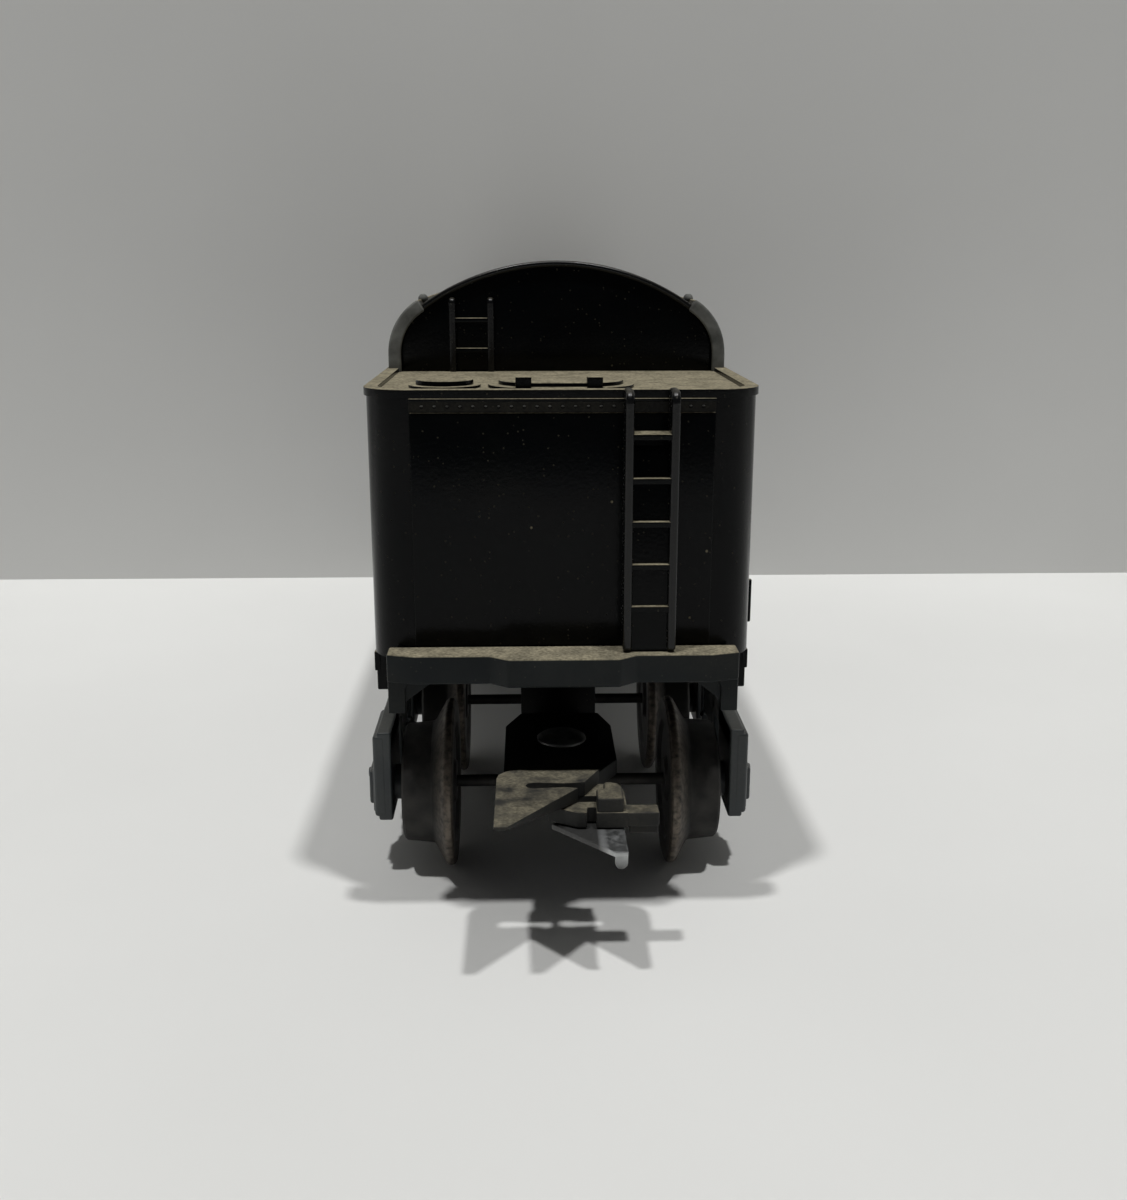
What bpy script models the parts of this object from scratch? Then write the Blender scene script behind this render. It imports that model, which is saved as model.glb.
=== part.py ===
"""Model steam-locomotive tender: moulded tank and coal bunker on two four-wheel trucks.

Metres, +Z up, +Y towards the locomotive. The rear wall of the tank is the datum along the tender:
`u` is a distance ahead of it, and `v` a distance ahead of a truck's kingpin.
"""
import math

import bmesh
import bpy
from mathutils import Matrix, Vector, noise

MM = 0.001

# Fits
SEAT_GAP = 0.2 * MM            # between pieces that rest on each other
RUN_GAP = 0.2 * MM             # radial clearance of a turning or screwed piece
WHEEL_FIT = 0.12 * MM          # radial clearance of a wheel on its axle
WHEEL_SIDE_PLAY = 0.4 * MM     # between a wheel's face and its journal boss

# Wheels
BACK_TO_BACK = 28.4 * MM
WHEEL_WIDTH = 6.9 * MM
FLANGE_RADIUS = 11.4 * MM
TREAD_RADIUS = 8.3 * MM
AXLE_RADIUS = 0.8 * MM
WHEEL_SIDES = 24

# Trucks
WHEELBASE = 34.0 * MM
SIDE_FRAME_THICKNESS = 1.9 * MM
JOURNAL_BOSS = 1.0 * MM        # inner boss, wheel side of the frame plate
JOURNAL_DEPTH = 1.1 * MM       # axle end inside the frame plate
SIDE_FRAME_RISE = 9.1 * MM     # top chord above the axle
SIDE_FRAME_DROP = 3.4 * MM     # pedestal foot below the axle
CHORD = 3.2 * MM               # height of the top chord
SPRING_SEAT_DROP = 5.2 * MM    # lower chord below the axle
PEDESTAL = 5.5 * MM            # half length of a pedestal
BOLSTER_HALF = 4.8 * MM
BOLSTER_RISE = 10.1 * MM       # underside above the axle
BOLSTER_HEIGHT = 2.1 * MM
BOLSTER_PROUD = 0.5 * MM       # end of the bolster beyond the frame plate
SPRING_RISE = 2.7 * MM         # top of the springs above the axle
CENTRE_PLATE_RISE = 12.6 * MM  # top of the centre plate above the axle
CENTRE_PLATE_RADIUS = 6.0 * MM
KINGPIN_RADIUS = 1.3 * MM
KINGPIN_HEAD = 2.8 * MM
HEAD_HEIGHT = 0.9 * MM

# Tank and bunker
BODY_WIDTH = 47.0 * MM
BODY_LENGTH = 160.0 * MM
TANK_HEIGHT = 32.4 * MM        # foot of the end walls to the deck
WALL = 1.6 * MM
CORNER_RADIUS = 5.5 * MM
FRONT_RADIUS = 1.5 * MM
SKIRT_DROP = 3.9 * MM          # side skirts below the floor
BAND_HEIGHT = 2.5 * MM
BAND_PROUD = 0.25 * MM
COPING_PROUD = 0.3 * MM
COPING_HEIGHT = 0.5 * MM       # above and below the deck
RIM_WIDTH = 1.5 * MM
DECK_LENGTH = 31.3 * MM        # rear wall to the bunker
BUNKER_WALL = 1.8 * MM
BUNKER_STRAIGHT = 2.4 * MM     # upright part of a bunker side above the deck
BUNKER_RADIUS = 8.6 * MM
BUNKER_CURL = 60.0             # degrees of the curled part
BULKHEAD_HEIGHT = 15.0 * MM
BULKHEAD_INSET = 0.9 * MM
GATE_HEIGHT = 10.5 * MM
GATE_SETBACK = 12.0 * MM       # coal gate behind the front wall
COAL_EDGE = 5.0 * MM
COAL_CROWN = 10.8 * MM
COAL_LUMP = 1.5 * MM           # a lump above the hollows beside it
COAL_STRAY = 0.9 * MM          # how far lumps lie off their rows
COAL_LUMPS = 7
COAL_ROWS = 19

# Ladders and hatches
LADDER_X = 10.3 * MM
LADDER_GAUGE = 5.3 * MM
LADDER_RAIL = 1.1 * MM
LADDER_PROUD = 3.6 * MM
LADDER_PANEL = 2.3 * MM
RUNG_PITCH = 5.13 * MM
RUNG_HEIGHT = 0.7 * MM
RUNGS = 5
SHORT_LADDER_X = -11.85 * MM
SHORT_LADDER_PROUD = 1.1 * MM
FILLER_RADIUS = 3.55 * MM
FILLER_X = -14.3 * MM
FILLER_U = 9.0 * MM
HATCH_LENGTH = 18.0 * MM
HATCH_DEPTH = 12.4 * MM
HATCH_U = 9.0 * MM

# Underframe
FLOOR_THICKNESS = 1.5 * MM
CENTRE_BOSS_DEPTH = 7.3 * MM
BOSS_RISE = 0.4 * MM           # centre bosses above the floor
BEAM_PROUD = 4.4 * MM
BEAM_HEIGHT = 3.5 * MM
BEAM_HALF = 21.25 * MM
STRIKER_PROUD = 6.0 * MM
STRIKER_HALF = 8.75 * MM
LEG_WIDTH = 2.1 * MM
LEG_DROP = 4.0 * MM
GUSSET = 4.2 * MM
SCREW_RADIUS = 1.0 * MM
SCREW_INSET = 10.5 * MM        # from either end of the tank
SCREW_LENGTH = 9.0 * MM

# Coupler
RIVET_RADIUS = 1.25 * MM
COUPLER_U = 7.2 * MM           # coupler rivet ahead of the rear wall
TONGUE_HALF = 3.5 * MM
TONGUE_RISE = 2.9 * MM         # underside above the axle
TONGUE_HEIGHT = 2.2 * MM
WEB_HALF = 5.4 * MM            # upright web between the bolster and the tongue
WEB_THICKNESS = 1.5 * MM
ROCKER_GAP = 0.3 * MM
TILT_SLACK = 0.7 * MM          # under the rivet head
SHANK_LENGTH = 10.8 * MM       # rivet to the back of the head
HEAD_HALF = 8.2 * MM
HEAD_LENGTH = 16.6 * MM
COUPLER_PLATE = 1.9 * MM       # thickness of each of the two levels
SLOT_HALF = 4.65 * MM
TRIP_THICKNESS = 0.7 * MM
TRIP_LENGTH = 15.0 * MM
TRIP_DROP = 1.5 * MM

# Drawbar
DRAWBAR_SETBACK = 8.0 * MM     # pivot behind the front wall
DRAWBAR_LENGTH = 22.0 * MM
DRAWBAR_THICKNESS = 1.0 * MM
DRAWBAR_EYE = 3.6 * MM
DRAWBAR_HOLE = 2.1 * MM

# Heights and positions that follow from the sizes above
AXLE_Z = FLANGE_RADIUS * math.cos(math.pi / WHEEL_SIDES)
BOLSTER_Z = AXLE_Z + BOLSTER_RISE
CENTRE_PLATE_Z = AXLE_Z + CENTRE_PLATE_RISE
FLOOR_Z = CENTRE_PLATE_Z + SEAT_GAP + CENTRE_BOSS_DEPTH
FLOOR_TOP_Z = FLOOR_Z + FLOOR_THICKNESS
BOSS_TOP_Z = FLOOR_TOP_Z + BOSS_RISE
FOOT_Z = FLOOR_TOP_Z + SEAT_GAP
SKIRT_Z = FLOOR_Z - SKIRT_DROP
DECK_Z = FOOT_Z + TANK_HEIGHT
BEAM_TOP_Z = FLOOR_Z + BEAM_HEIGHT
HALF_WIDTH = BODY_WIDTH / 2
FLOOR_HALF = HALF_WIDTH - WALL - SEAT_GAP
SCREW_X = HALF_WIDTH - WALL - 2.5 * MM
KINGPIN_U = DECK_LENGTH
WHEEL_FACE = BACK_TO_BACK / 2 + WHEEL_WIDTH
BOSS_X = WHEEL_FACE + WHEEL_SIDE_PLAY
FRAME_X = BOSS_X + JOURNAL_BOSS
FRAME_OUT = FRAME_X + SIDE_FRAME_THICKNESS
TONGUE_Z = AXLE_Z + TONGUE_RISE
TONGUE_TOP = TONGUE_Z + TONGUE_HEIGHT
TILT_Z = TONGUE_TOP + ROCKER_GAP
RIVET_V = COUPLER_U - KINGPIN_U
DRAWBAR_TOP = FLOOR_Z - SEAT_GAP
DRAWBAR_U = BODY_LENGTH - DRAWBAR_SETBACK
REAR_END = COUPLER_U - SHANK_LENGTH - HEAD_LENGTH
FRONT_END = DRAWBAR_U + DRAWBAR_LENGTH + DRAWBAR_EYE
MIDDLE_U = (REAR_END + FRONT_END) / 2

for stale in list(bpy.data.objects):
    bpy.data.objects.remove(stale, do_unlink=True)
for stale in list(bpy.data.collections):
    bpy.data.collections.remove(stale)

parts = bpy.data.collections.new("locomotive_tender")
cutters = bpy.data.collections.new("cutters")
bpy.context.scene.collection.children.link(parts)
bpy.context.scene.collection.children.link(cutters)


def pivot(name, location, parent=None):
    """An empty on a joint's axis, which carries the pieces that turn on it."""
    empty = bpy.data.objects.new(name, None)
    parts.objects.link(empty)
    empty.parent = parent
    empty.location = location
    return empty


def material(name, colour, roughness, metallic=0.0):
    made = bpy.data.materials.new(name)
    made.use_nodes = True
    shader = made.node_tree.nodes["Principled BSDF"]
    shader.inputs["Base Color"].default_value = (*colour, 1.0)
    shader.inputs["Roughness"].default_value = roughness
    shader.inputs["Metallic"].default_value = metallic
    return made


def arc(centre, radius, start, end, steps):
    """Points of a circular arc, angles in degrees."""
    points = []
    for step in range(steps + 1):
        angle = math.radians(start + (end - start) * step / steps)
        points.append((centre[0] + radius * math.cos(angle), centre[1] + radius * math.sin(angle)))
    return points


def rectangle(left, right, low, high):
    return [(left, low), (right, low), (right, high), (left, high)]


def mirrored(half):
    """A closed outline from its right half, walked from the centre line round to the centre line."""
    return half + [(-x, y) for x, y in reversed(half) if abs(x) > 1e-9]


def slab(name, loops, low, high, axis, parent):
    """Outlines filled as a flat curve and extruded from low to high along an axis."""
    curve = bpy.data.curves.new(name, "CURVE")
    curve.dimensions = "2D"
    curve.fill_mode = "BOTH"
    curve.extrude = abs(high - low) / MM / 2
    skew = Matrix.Rotation(0.37, 4, "Z")   # the fill is steadier where no two corners are level
    for loop in loops:
        spline = curve.splines.new("POLY")
        spline.points.add(len(loop) - 1)
        for point, (across, along) in zip(spline.points, loop):
            point.co = (*(skew @ Vector((across / MM, along / MM, 0.0))), 1.0)
        spline.use_cyclic_u = True
    flat = bpy.data.objects.new(name, curve)
    parts.objects.link(flat)
    depsgraph = bpy.context.evaluated_depsgraph_get()
    mesh = bpy.data.meshes.new_from_object(flat.evaluated_get(depsgraph))
    bpy.data.objects.remove(flat)
    bpy.data.curves.remove(curve)
    turns = {
        "X": Matrix(((0, 0, 1, 0), (1, 0, 0, 0), (0, 1, 0, 0), (0, 0, 0, 1))),
        "Y": Matrix(((1, 0, 0, 0), (0, 0, -1, 0), (0, 1, 0, 0), (0, 0, 0, 1))),
        "Z": Matrix.Identity(4),
    }
    corners = [Vector((across, along, 0.0)) for loop in loops for across, along in loop]
    work = bmesh.new()
    work.from_mesh(mesh)
    bmesh.ops.remove_doubles(work, verts=work.verts, dist=0.0005)
    bmesh.ops.transform(work, verts=work.verts, matrix=Matrix.Scale(MM, 4) @ skew.inverted())
    ends = (max(low, high), min(low, high)) if axis != "Y" else (min(low, high), max(low, high))
    for vert in work.verts:
        here = Vector((vert.co.x, vert.co.y, 0.0))
        end = ends[0] if vert.co.z > 0 else ends[1]
        vert.co = turns[axis] @ min(corners, key=lambda corner: (corner - here).length_squared)
        vert.co["XYZ".index(axis)] = end
    bmesh.ops.recalc_face_normals(work, faces=work.faces)
    work.to_mesh(mesh)
    work.free()
    mesh.name = name
    made = bpy.data.objects.new(name, mesh)
    parts.objects.link(made)
    made.parent = parent
    return made


def block(name, x, y, z, parent):
    return slab(name, [rectangle(min(x), max(x), min(y), max(y))], z[0], z[1], "Z", parent)


def turned(name, profile, sides, parent, location=(0, 0, 0), axis="Z", closed=False):
    """A (radius, height) profile walked down its outer side and turned about an axis.

    A flat side of the turned piece faces along -Z when the axis is level.
    """
    start = math.pi / sides
    points = [(r * math.cos(start), -r * math.sin(start), h) for r, h in profile]
    edges = [(i, i + 1) for i in range(len(points) - 1)]
    if closed:
        edges.append((len(points) - 1, 0))
    mesh = bpy.data.meshes.new(name)
    mesh.from_pydata(points, edges, [])
    made = bpy.data.objects.new(name, mesh)
    parts.objects.link(made)
    made.parent = parent
    made.location = location
    quarter = math.pi / 2
    made.rotation_euler = {"Z": (0, 0, 0), "X": (0, quarter, 0), "-X": (0, -quarter, 0)}[axis]
    screw = made.modifiers.new("turned", "SCREW")
    screw.steps = sides
    screw.render_steps = sides
    screw.use_merge_vertices = True
    screw.merge_threshold = 0.000001
    screw.use_smooth_shade = False
    return made


def rod(name, radius, low, high, sides, parent, location=(0, 0, 0), axis="Z"):
    profile = [(0, high), (radius, high), (radius, low), (0, low)]
    return turned(name, profile, sides, parent, location, axis)


def combine(base, tools, operation):
    """Adds or cuts tools in one step. They then wait together among the cutters."""
    group = bpy.data.collections.new(f"{base.name}_{operation.lower()}_{len(base.modifiers)}")
    cutters.children.link(group)
    for tool in tools:
        parts.objects.unlink(tool)
        group.objects.link(tool)
        tool.hide_render = True
        tool.display_type = "WIRE"
    boolean = base.modifiers.new(group.name, "BOOLEAN")
    boolean.operation = operation
    boolean.solver = "EXACT"
    boolean.operand_type = "COLLECTION"
    boolean.collection = group


def add(base, *tools):
    combine(base, tools, "UNION")


def cut(base, *tools):
    combine(base, tools, "DIFFERENCE")


def paint(obj, finish):
    obj.data.materials.clear()
    obj.data.materials.append(finish)


BLACK_PLASTIC = material("tank_plastic", (0.018, 0.018, 0.02), 0.35)
FRAME_PLASTIC = material("frame_plastic", (0.03, 0.03, 0.032), 0.5)
COAL = material("coal_plastic", (0.012, 0.012, 0.013), 0.6)
WHEEL_METAL = material("wheel_metal", (0.16, 0.14, 0.12), 0.55, 1.0)
STEEL = material("steel", (0.5, 0.5, 0.5), 0.35, 1.0)

root = pivot("tender", (0, -MIDDLE_U, 0))


# Tank and bunker moulding


def tank_plan(inset):
    """The tank seen from above, with large radii at the rear corners and small ones ahead."""
    half = HALF_WIDTH - inset
    rear = CORNER_RADIUS - inset
    front = max(FRONT_RADIUS - inset, 0.3 * MM)
    right = arc((half - rear, inset + rear), rear, -90, 0, 8)
    right += arc((half - front, BODY_LENGTH - inset - front), front, 0, 90, 3)
    return [(x, u) for x, u in right] + [(-x, u) for x, u in reversed(right)]


def bunker_section(outer, inner):
    """One bunker side in section: upright from the deck, then curled inwards."""
    centre = (HALF_WIDTH - BUNKER_RADIUS, DECK_Z + BUNKER_STRAIGHT)
    foot = DECK_Z - 0.3 * MM
    section = [(HALF_WIDTH - outer, foot)]
    section += arc(centre, BUNKER_RADIUS - outer, 0, BUNKER_CURL, 8)
    section += arc(centre, BUNKER_RADIUS - inner, BUNKER_CURL, 0, 8)
    section.append((HALF_WIDTH - inner, foot))
    return section


def arch(crown, inset):
    """A bulkhead outline that follows the bunker sides and closes over with a flat arch."""
    centre = (HALF_WIDTH - BUNKER_RADIUS, DECK_Z + BUNKER_STRAIGHT)
    side = arc(centre, BUNKER_RADIUS - inset, 0, BUNKER_CURL - 3.0, 7)
    chord, spring = side[-1]
    rise = DECK_Z + crown - spring
    radius = (chord * chord + rise * rise) / (2 * rise)
    spread = math.degrees(math.asin(chord / radius))
    top = arc((0, spring + rise - radius), radius, 90 - spread, 90, 8)
    return mirrored([(HALF_WIDTH - inset, DECK_Z - 0.3 * MM)] + side + top[1:])


shell = slab("tank_shell", [tank_plan(0)], SKIRT_Z, DECK_Z, "Z", root)
paint(shell, BLACK_PLASTIC)
outside = [slab("coping", [tank_plan(-COPING_PROUD)], DECK_Z - COPING_HEIGHT, DECK_Z + COPING_HEIGHT, "Z", root)]
for side in (-1, 1):
    band_x = (side * (HALF_WIDTH - 0.5 * MM), side * (HALF_WIDTH + BAND_PROUD))
    outside.append(block(f"band_{side}", band_x, (0.1 * MM, BODY_LENGTH - 0.1 * MM),
                         (FLOOR_Z - 1.3 * MM, FLOOR_Z - 1.3 * MM + BAND_HEIGHT), root))
add(shell, *outside)
hollows = [slab("deck_recess", [tank_plan(RIM_WIDTH)], DECK_Z, DECK_Z + 4 * MM, "Z", root),
           slab("tank_hollow", [tank_plan(WALL)], SKIRT_Z - 2 * MM, DECK_Z - WALL, "Z", root)]
for end, near, far in (("rear", -2 * MM, CORNER_RADIUS),
                       ("front", BODY_LENGTH - CORNER_RADIUS, BODY_LENGTH + 2 * MM)):
    hollows.append(block(f"{end}_opening", (-BODY_WIDTH, BODY_WIDTH), (near, far),
                         (SKIRT_Z - 2 * MM, FOOT_Z), root))
cut(shell, *hollows)

fittings = []
for side in (-1, 1):
    section = [(side * x, z) for x, z in bunker_section(0, BUNKER_WALL)]
    fittings.append(slab(f"bunker_side_{side}", [section], DECK_LENGTH, BODY_LENGTH - FRONT_RADIUS, "Y", root))
mid_wall = BUNKER_WALL / 2
bulkhead_u = DECK_LENGTH + BULKHEAD_INSET
fittings.append(slab("bulkhead", [arch(BULKHEAD_HEIGHT, mid_wall)], bulkhead_u, bulkhead_u + WALL, "Y", root))
gate_u = BODY_LENGTH - GATE_SETBACK
coal_door = [(5.5 * MM, DECK_Z + 0.2 * MM)]
coal_door += arc((0, DECK_Z + 3.0 * MM), 5.5 * MM, 0, 180, 8)
coal_door += [(-5.5 * MM, DECK_Z + 0.2 * MM)]
fittings.append(slab("coal_gate", [arch(GATE_HEIGHT, mid_wall), coal_door], gate_u - WALL, gate_u, "Y", root))
fire_door = rectangle(-8 * MM, 8 * MM, FOOT_Z + 6 * MM, FOOT_Z + 26 * MM)
recesses = [slab("front_panel", [fire_door], BODY_LENGTH - 0.6 * MM, BODY_LENGTH + 2 * MM, "Y", root)]

# Ladder against the rear wall: deep rails, a panel between them and rungs that stand out of it
ladder_top = DECK_Z + COPING_HEIGHT + 0.1 * MM
for side in (-1, 1):
    middle = LADDER_X + side * LADDER_GAUGE / 2
    half = LADDER_RAIL / 2
    outline = [(0.4 * MM, BEAM_TOP_Z + SEAT_GAP)]
    outline += [(-LADDER_PROUD, BEAM_TOP_Z + SEAT_GAP)]
    outline += arc((-LADDER_PROUD + 1.6 * MM, ladder_top - 1.6 * MM), 1.6 * MM, 180, 90, 5)
    outline += [(0.4 * MM, ladder_top)]
    fittings.append(slab(f"ladder_rail_{side}", [outline], middle - half, middle + half, "X", root))
panel_x = (LADDER_X - LADDER_GAUGE / 2, LADDER_X + LADDER_GAUGE / 2)
top_rung = BEAM_TOP_Z + 5.4 * MM + RUNG_PITCH * (RUNGS - 1)
panel = [(0.4 * MM, BEAM_TOP_Z + SEAT_GAP + 0.01 * MM),
         (-LADDER_PROUD + 0.6 * MM, BEAM_TOP_Z + SEAT_GAP + 0.01 * MM),
         (-LADDER_PANEL, top_rung - RUNG_PITCH), (0.4 * MM, top_rung)]
fittings.append(slab("ladder_panel", [panel], panel_x[0], panel_x[1], "X", root))
for rung in range(RUNGS):
    height = BEAM_TOP_Z + 5.4 * MM + rung * RUNG_PITCH
    fittings.append(block(f"ladder_rung_{rung}", panel_x, (0.4 * MM, -LADDER_PROUD + 0.1 * MM),
                          (height - RUNG_HEIGHT / 2, height + RUNG_HEIGHT / 2), root))

# Short ladder on the bulkhead
short_back = bulkhead_u + 0.4 * MM
short_face = bulkhead_u - SHORT_LADDER_PROUD
for side in (-1, 1):
    middle = SHORT_LADDER_X + side * LADDER_GAUGE / 2
    half = LADDER_RAIL / 2 - 0.05 * MM
    outline = [(short_back, DECK_Z - 0.2 * MM), (short_face, DECK_Z - 0.2 * MM)]
    outline += arc((short_face + 0.8 * MM, DECK_Z + 9.3 * MM), 0.8 * MM, 180, 90, 4)
    outline += [(short_back, DECK_Z + 10.1 * MM)]
    fittings.append(slab(f"short_rail_{side}", [outline], middle - half, middle + half, "X", root))
for rung, height in enumerate((DECK_Z + 2.9 * MM, DECK_Z + 7.0 * MM)):
    rung_x = (SHORT_LADDER_X - LADDER_GAUGE / 2, SHORT_LADDER_X + LADDER_GAUGE / 2)
    fittings.append(block(f"short_rung_{rung}", rung_x, (short_back, short_face + 0.15 * MM),
                          (height - RUNG_HEIGHT / 2, height + RUNG_HEIGHT / 2), root))

# Filler cap and water hatch on the deck
sunk = -0.4 * MM
filler = [(0, 1.0 * MM), (FILLER_RADIUS - 0.4 * MM, 1.0 * MM), (FILLER_RADIUS, 0.6 * MM),
          (FILLER_RADIUS, 0.35 * MM), (FILLER_RADIUS + 0.9 * MM, 0.35 * MM),
          (FILLER_RADIUS + 0.9 * MM, sunk), (0, sunk)]
fittings.append(turned("filler_cap", filler, 20, root, (FILLER_X, FILLER_U, DECK_Z)))


def hatch_plan(inset):
    half = HATCH_DEPTH / 2 - inset
    reach = (HATCH_LENGTH - HATCH_DEPTH) / 2
    right = arc((reach, HATCH_U), half, -90, 90, 8)
    return right + [(-x, u) for x, u in reversed(right)]


fittings += [slab("hatch_coaming", [hatch_plan(0)], DECK_Z + sunk, DECK_Z + 0.4 * MM, "Z", root),
             slab("hatch_lid", [hatch_plan(1.3 * MM)], DECK_Z + 1.5 * sunk, DECK_Z + 0.9 * MM, "Z", root)]
for side in (-1, 1):
    middle = side * 4.25 * MM - 0.35 * MM
    fittings.append(block(f"hatch_lug_{side}", (middle - 0.95 * MM, middle + 0.95 * MM),
                          (HATCH_U - 6.3 * MM, HATCH_U - 4.6 * MM),
                          (DECK_Z + 2 * sunk, DECK_Z + 1.7 * MM), root))
for side in (-1, 1):
    knob_x = HALF_WIDTH - BUNKER_RADIUS + (BUNKER_RADIUS - mid_wall) * math.cos(math.radians(BUNKER_CURL))
    knob_z = DECK_Z + BUNKER_STRAIGHT + BUNKER_RADIUS * math.sin(math.radians(BUNKER_CURL))
    fittings.append(rod(f"bunker_knob_{side}", 0.75 * MM, -2.0 * MM, 1.2 * MM, 10, root,
                        (side * knob_x, DECK_LENGTH + 6 * MM, knob_z - 0.4 * MM)))

# Bosses inside the tank that take the four screws
SCREW_PLACES = [(side, end) for side in (-1, 1) for end in ("rear", "front")]
for side, end in SCREW_PLACES:
    screw_u = SCREW_INSET if end == "rear" else BODY_LENGTH - SCREW_INSET
    place = (side * SCREW_X, screw_u, 0)
    fittings.append(rod(f"screw_boss_{end}_{side}", 2.7 * MM, FOOT_Z, FOOT_Z + SCREW_LENGTH + 2 * MM,
                        12, root, place))
    recesses.append(rod(f"screw_bore_{end}_{side}", SCREW_RADIUS + RUN_GAP, FOOT_Z - 1 * MM,
                        FOOT_Z + SCREW_LENGTH + 0.5 * MM, 12, root, place))
add(shell, *fittings)
cut(shell, *recesses)

# Coal: a crowned, lumpy insert between the bulkhead and the coal gate
coal_half = HALF_WIDTH - BUNKER_WALL - 1.2 * MM
coal_rear = bulkhead_u + WALL + SEAT_GAP
coal_front = gate_u - WALL - SEAT_GAP
coal_mesh = bpy.data.meshes.new("coal_load")
heap = bmesh.new()
bmesh.ops.create_grid(heap, x_segments=2 * COAL_LUMPS, y_segments=2 * COAL_ROWS, size=1.0)
for vert in heap.verts:
    across = vert.co.x
    along = vert.co.y
    column = round((across + 1) * COAL_LUMPS)
    row = round((along + 1) * COAL_ROWS)
    inside = 0 < column < 2 * COAL_LUMPS and 0 < row < 2 * COAL_ROWS
    crown = (1 - across * across) * (COAL_CROWN - COAL_EDGE) * (0.86 + 0.1 * (1 - along * along))
    stray = noise.noise_vector(Vector((column * 1.37, row * 1.73, 0.7))) if inside else Vector()
    clear = inside and 1 < column < 2 * COAL_LUMPS - 1   # the lumps stay out from under the curled sides
    peak = COAL_LUMP * (column % 2 + row % 2) / 2 if clear else 0.0
    vert.co = (across * coal_half + stray.x * COAL_STRAY,
               coal_rear + (along + 1) / 2 * (coal_front - coal_rear) + stray.y * COAL_STRAY,
               DECK_Z + COAL_EDGE + crown + peak + stray.z * COAL_STRAY)
rim = [edge for edge in heap.edges if edge.is_boundary]
grown = bmesh.ops.extrude_edge_only(heap, edges=rim)["geom"]
low_edges = [item for item in grown if isinstance(item, bmesh.types.BMEdge) and item.is_boundary]
for vert in {vert for edge in low_edges for vert in edge.verts}:
    vert.co.z = DECK_Z + SEAT_GAP
bmesh.ops.contextual_create(heap, geom=low_edges)
bmesh.ops.recalc_face_normals(heap, faces=heap.faces)
heap.to_mesh(coal_mesh)
heap.free()
coal = bpy.data.objects.new("coal_load", coal_mesh)
parts.objects.link(coal)
coal.parent = root
paint(coal, COAL)

# Underframe: floor, end beams with the striker, step legs, gussets and the two centre bosses
floor_end = CORNER_RADIUS + 0.5 * MM
neck = HALF_WIDTH - CORNER_RADIUS + 0.3 * MM
floor_half = [(neck, -1 * MM), (neck, floor_end - 1 * MM), (FLOOR_HALF, floor_end),
              (FLOOR_HALF, BODY_LENGTH - floor_end), (neck, BODY_LENGTH - floor_end + 1 * MM),
              (neck, BODY_LENGTH + 1 * MM)]
floor_holes = [arc((0, DRAWBAR_U), RIVET_RADIUS + RUN_GAP, 0, 330, 11)]
for place in (KINGPIN_U, BODY_LENGTH - KINGPIN_U):
    floor_holes.append(arc((0, place), KINGPIN_HEAD, 0, 330, 11))
for side, end in SCREW_PLACES:
    screw_u = SCREW_INSET if end == "rear" else BODY_LENGTH - SCREW_INSET
    floor_holes.append(arc((side * SCREW_X, screw_u), SCREW_RADIUS + RUN_GAP, 0, 330, 11))
frame = slab("underframe", [mirrored(floor_half)] + floor_holes, FLOOR_Z, FLOOR_TOP_Z, "Z", root)
paint(frame, FRAME_PLASTIC)
beam_back = SEAT_GAP
end_slope = 1.0 * MM
rear_half = [(STRIKER_HALF - 2.1 * MM, -STRIKER_PROUD), (STRIKER_HALF, -BEAM_PROUD),
             (BEAM_HALF - 3.4 * MM, -BEAM_PROUD), (BEAM_HALF, -BEAM_PROUD + end_slope),
             (BEAM_HALF, -beam_back)]
front_half = [(BEAM_HALF, BODY_LENGTH + beam_back), (BEAM_HALF, BODY_LENGTH + BEAM_PROUD - end_slope),
              (BEAM_HALF - 3.4 * MM, BODY_LENGTH + BEAM_PROUD)]
beam_low = FLOOR_Z - 0.02 * MM
members = [slab("rear_beam", [mirrored(rear_half)], beam_low, BEAM_TOP_Z, "Z", root),
           slab("front_beam", [mirrored(front_half)], beam_low, BEAM_TOP_Z, "Z", root)]
for side in (-1, 1):
    for end, near, far in (("rear", -BEAM_PROUD + end_slope + 0.1 * MM, -1.2 * MM),
                           ("front", BODY_LENGTH + 1.2 * MM,
                            BODY_LENGTH + BEAM_PROUD - end_slope - 0.1 * MM)):
        inner = BEAM_HALF - LEG_WIDTH
        leg = [(side * (BEAM_HALF - 0.05 * MM), FLOOR_Z + 0.6 * MM),
               (side * (BEAM_HALF - 0.05 * MM), FLOOR_Z - LEG_DROP),
               (side * inner, FLOOR_Z - LEG_DROP), (side * inner, FLOOR_Z - 1.0 * MM),
               (side * (inner - 0.3 * MM), FLOOR_Z - 0.3 * MM),
               (side * (inner - 1.0 * MM), FLOOR_Z + 0.6 * MM)]
        members.append(slab(f"leg_{end}_{side}", [leg], near, far, "Y", root))
        web = [(side * (inner + 0.3 * MM), FLOOR_Z + 0.5 * MM),
               (side * (inner + 0.3 * MM), FLOOR_Z - 0.7 * GUSSET),
               (side * (inner - GUSSET), FLOOR_Z + 0.5 * MM)]
        members.append(slab(f"gusset_{end}_{side}", [web], near + 0.5 * MM, far - 0.3 * MM, "Y", root))
    rib_x = (side * 8.4 * MM, side * 9.6 * MM)
    members.append(block(f"floor_rib_{side}", rib_x, (KINGPIN_U - 12 * MM, BODY_LENGTH - KINGPIN_U + 10 * MM),
                         (FLOOR_Z - 1.4 * MM, FLOOR_Z + 0.5 * MM), root))
boss_low = FLOOR_Z - CENTRE_BOSS_DEPTH
boss_bore = KINGPIN_RADIUS + RUN_GAP
boss = [(boss_bore, BOSS_TOP_Z), (CENTRE_PLATE_RADIUS, BOSS_TOP_Z), (CENTRE_PLATE_RADIUS, boss_low),
        (boss_bore, boss_low)]
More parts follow.
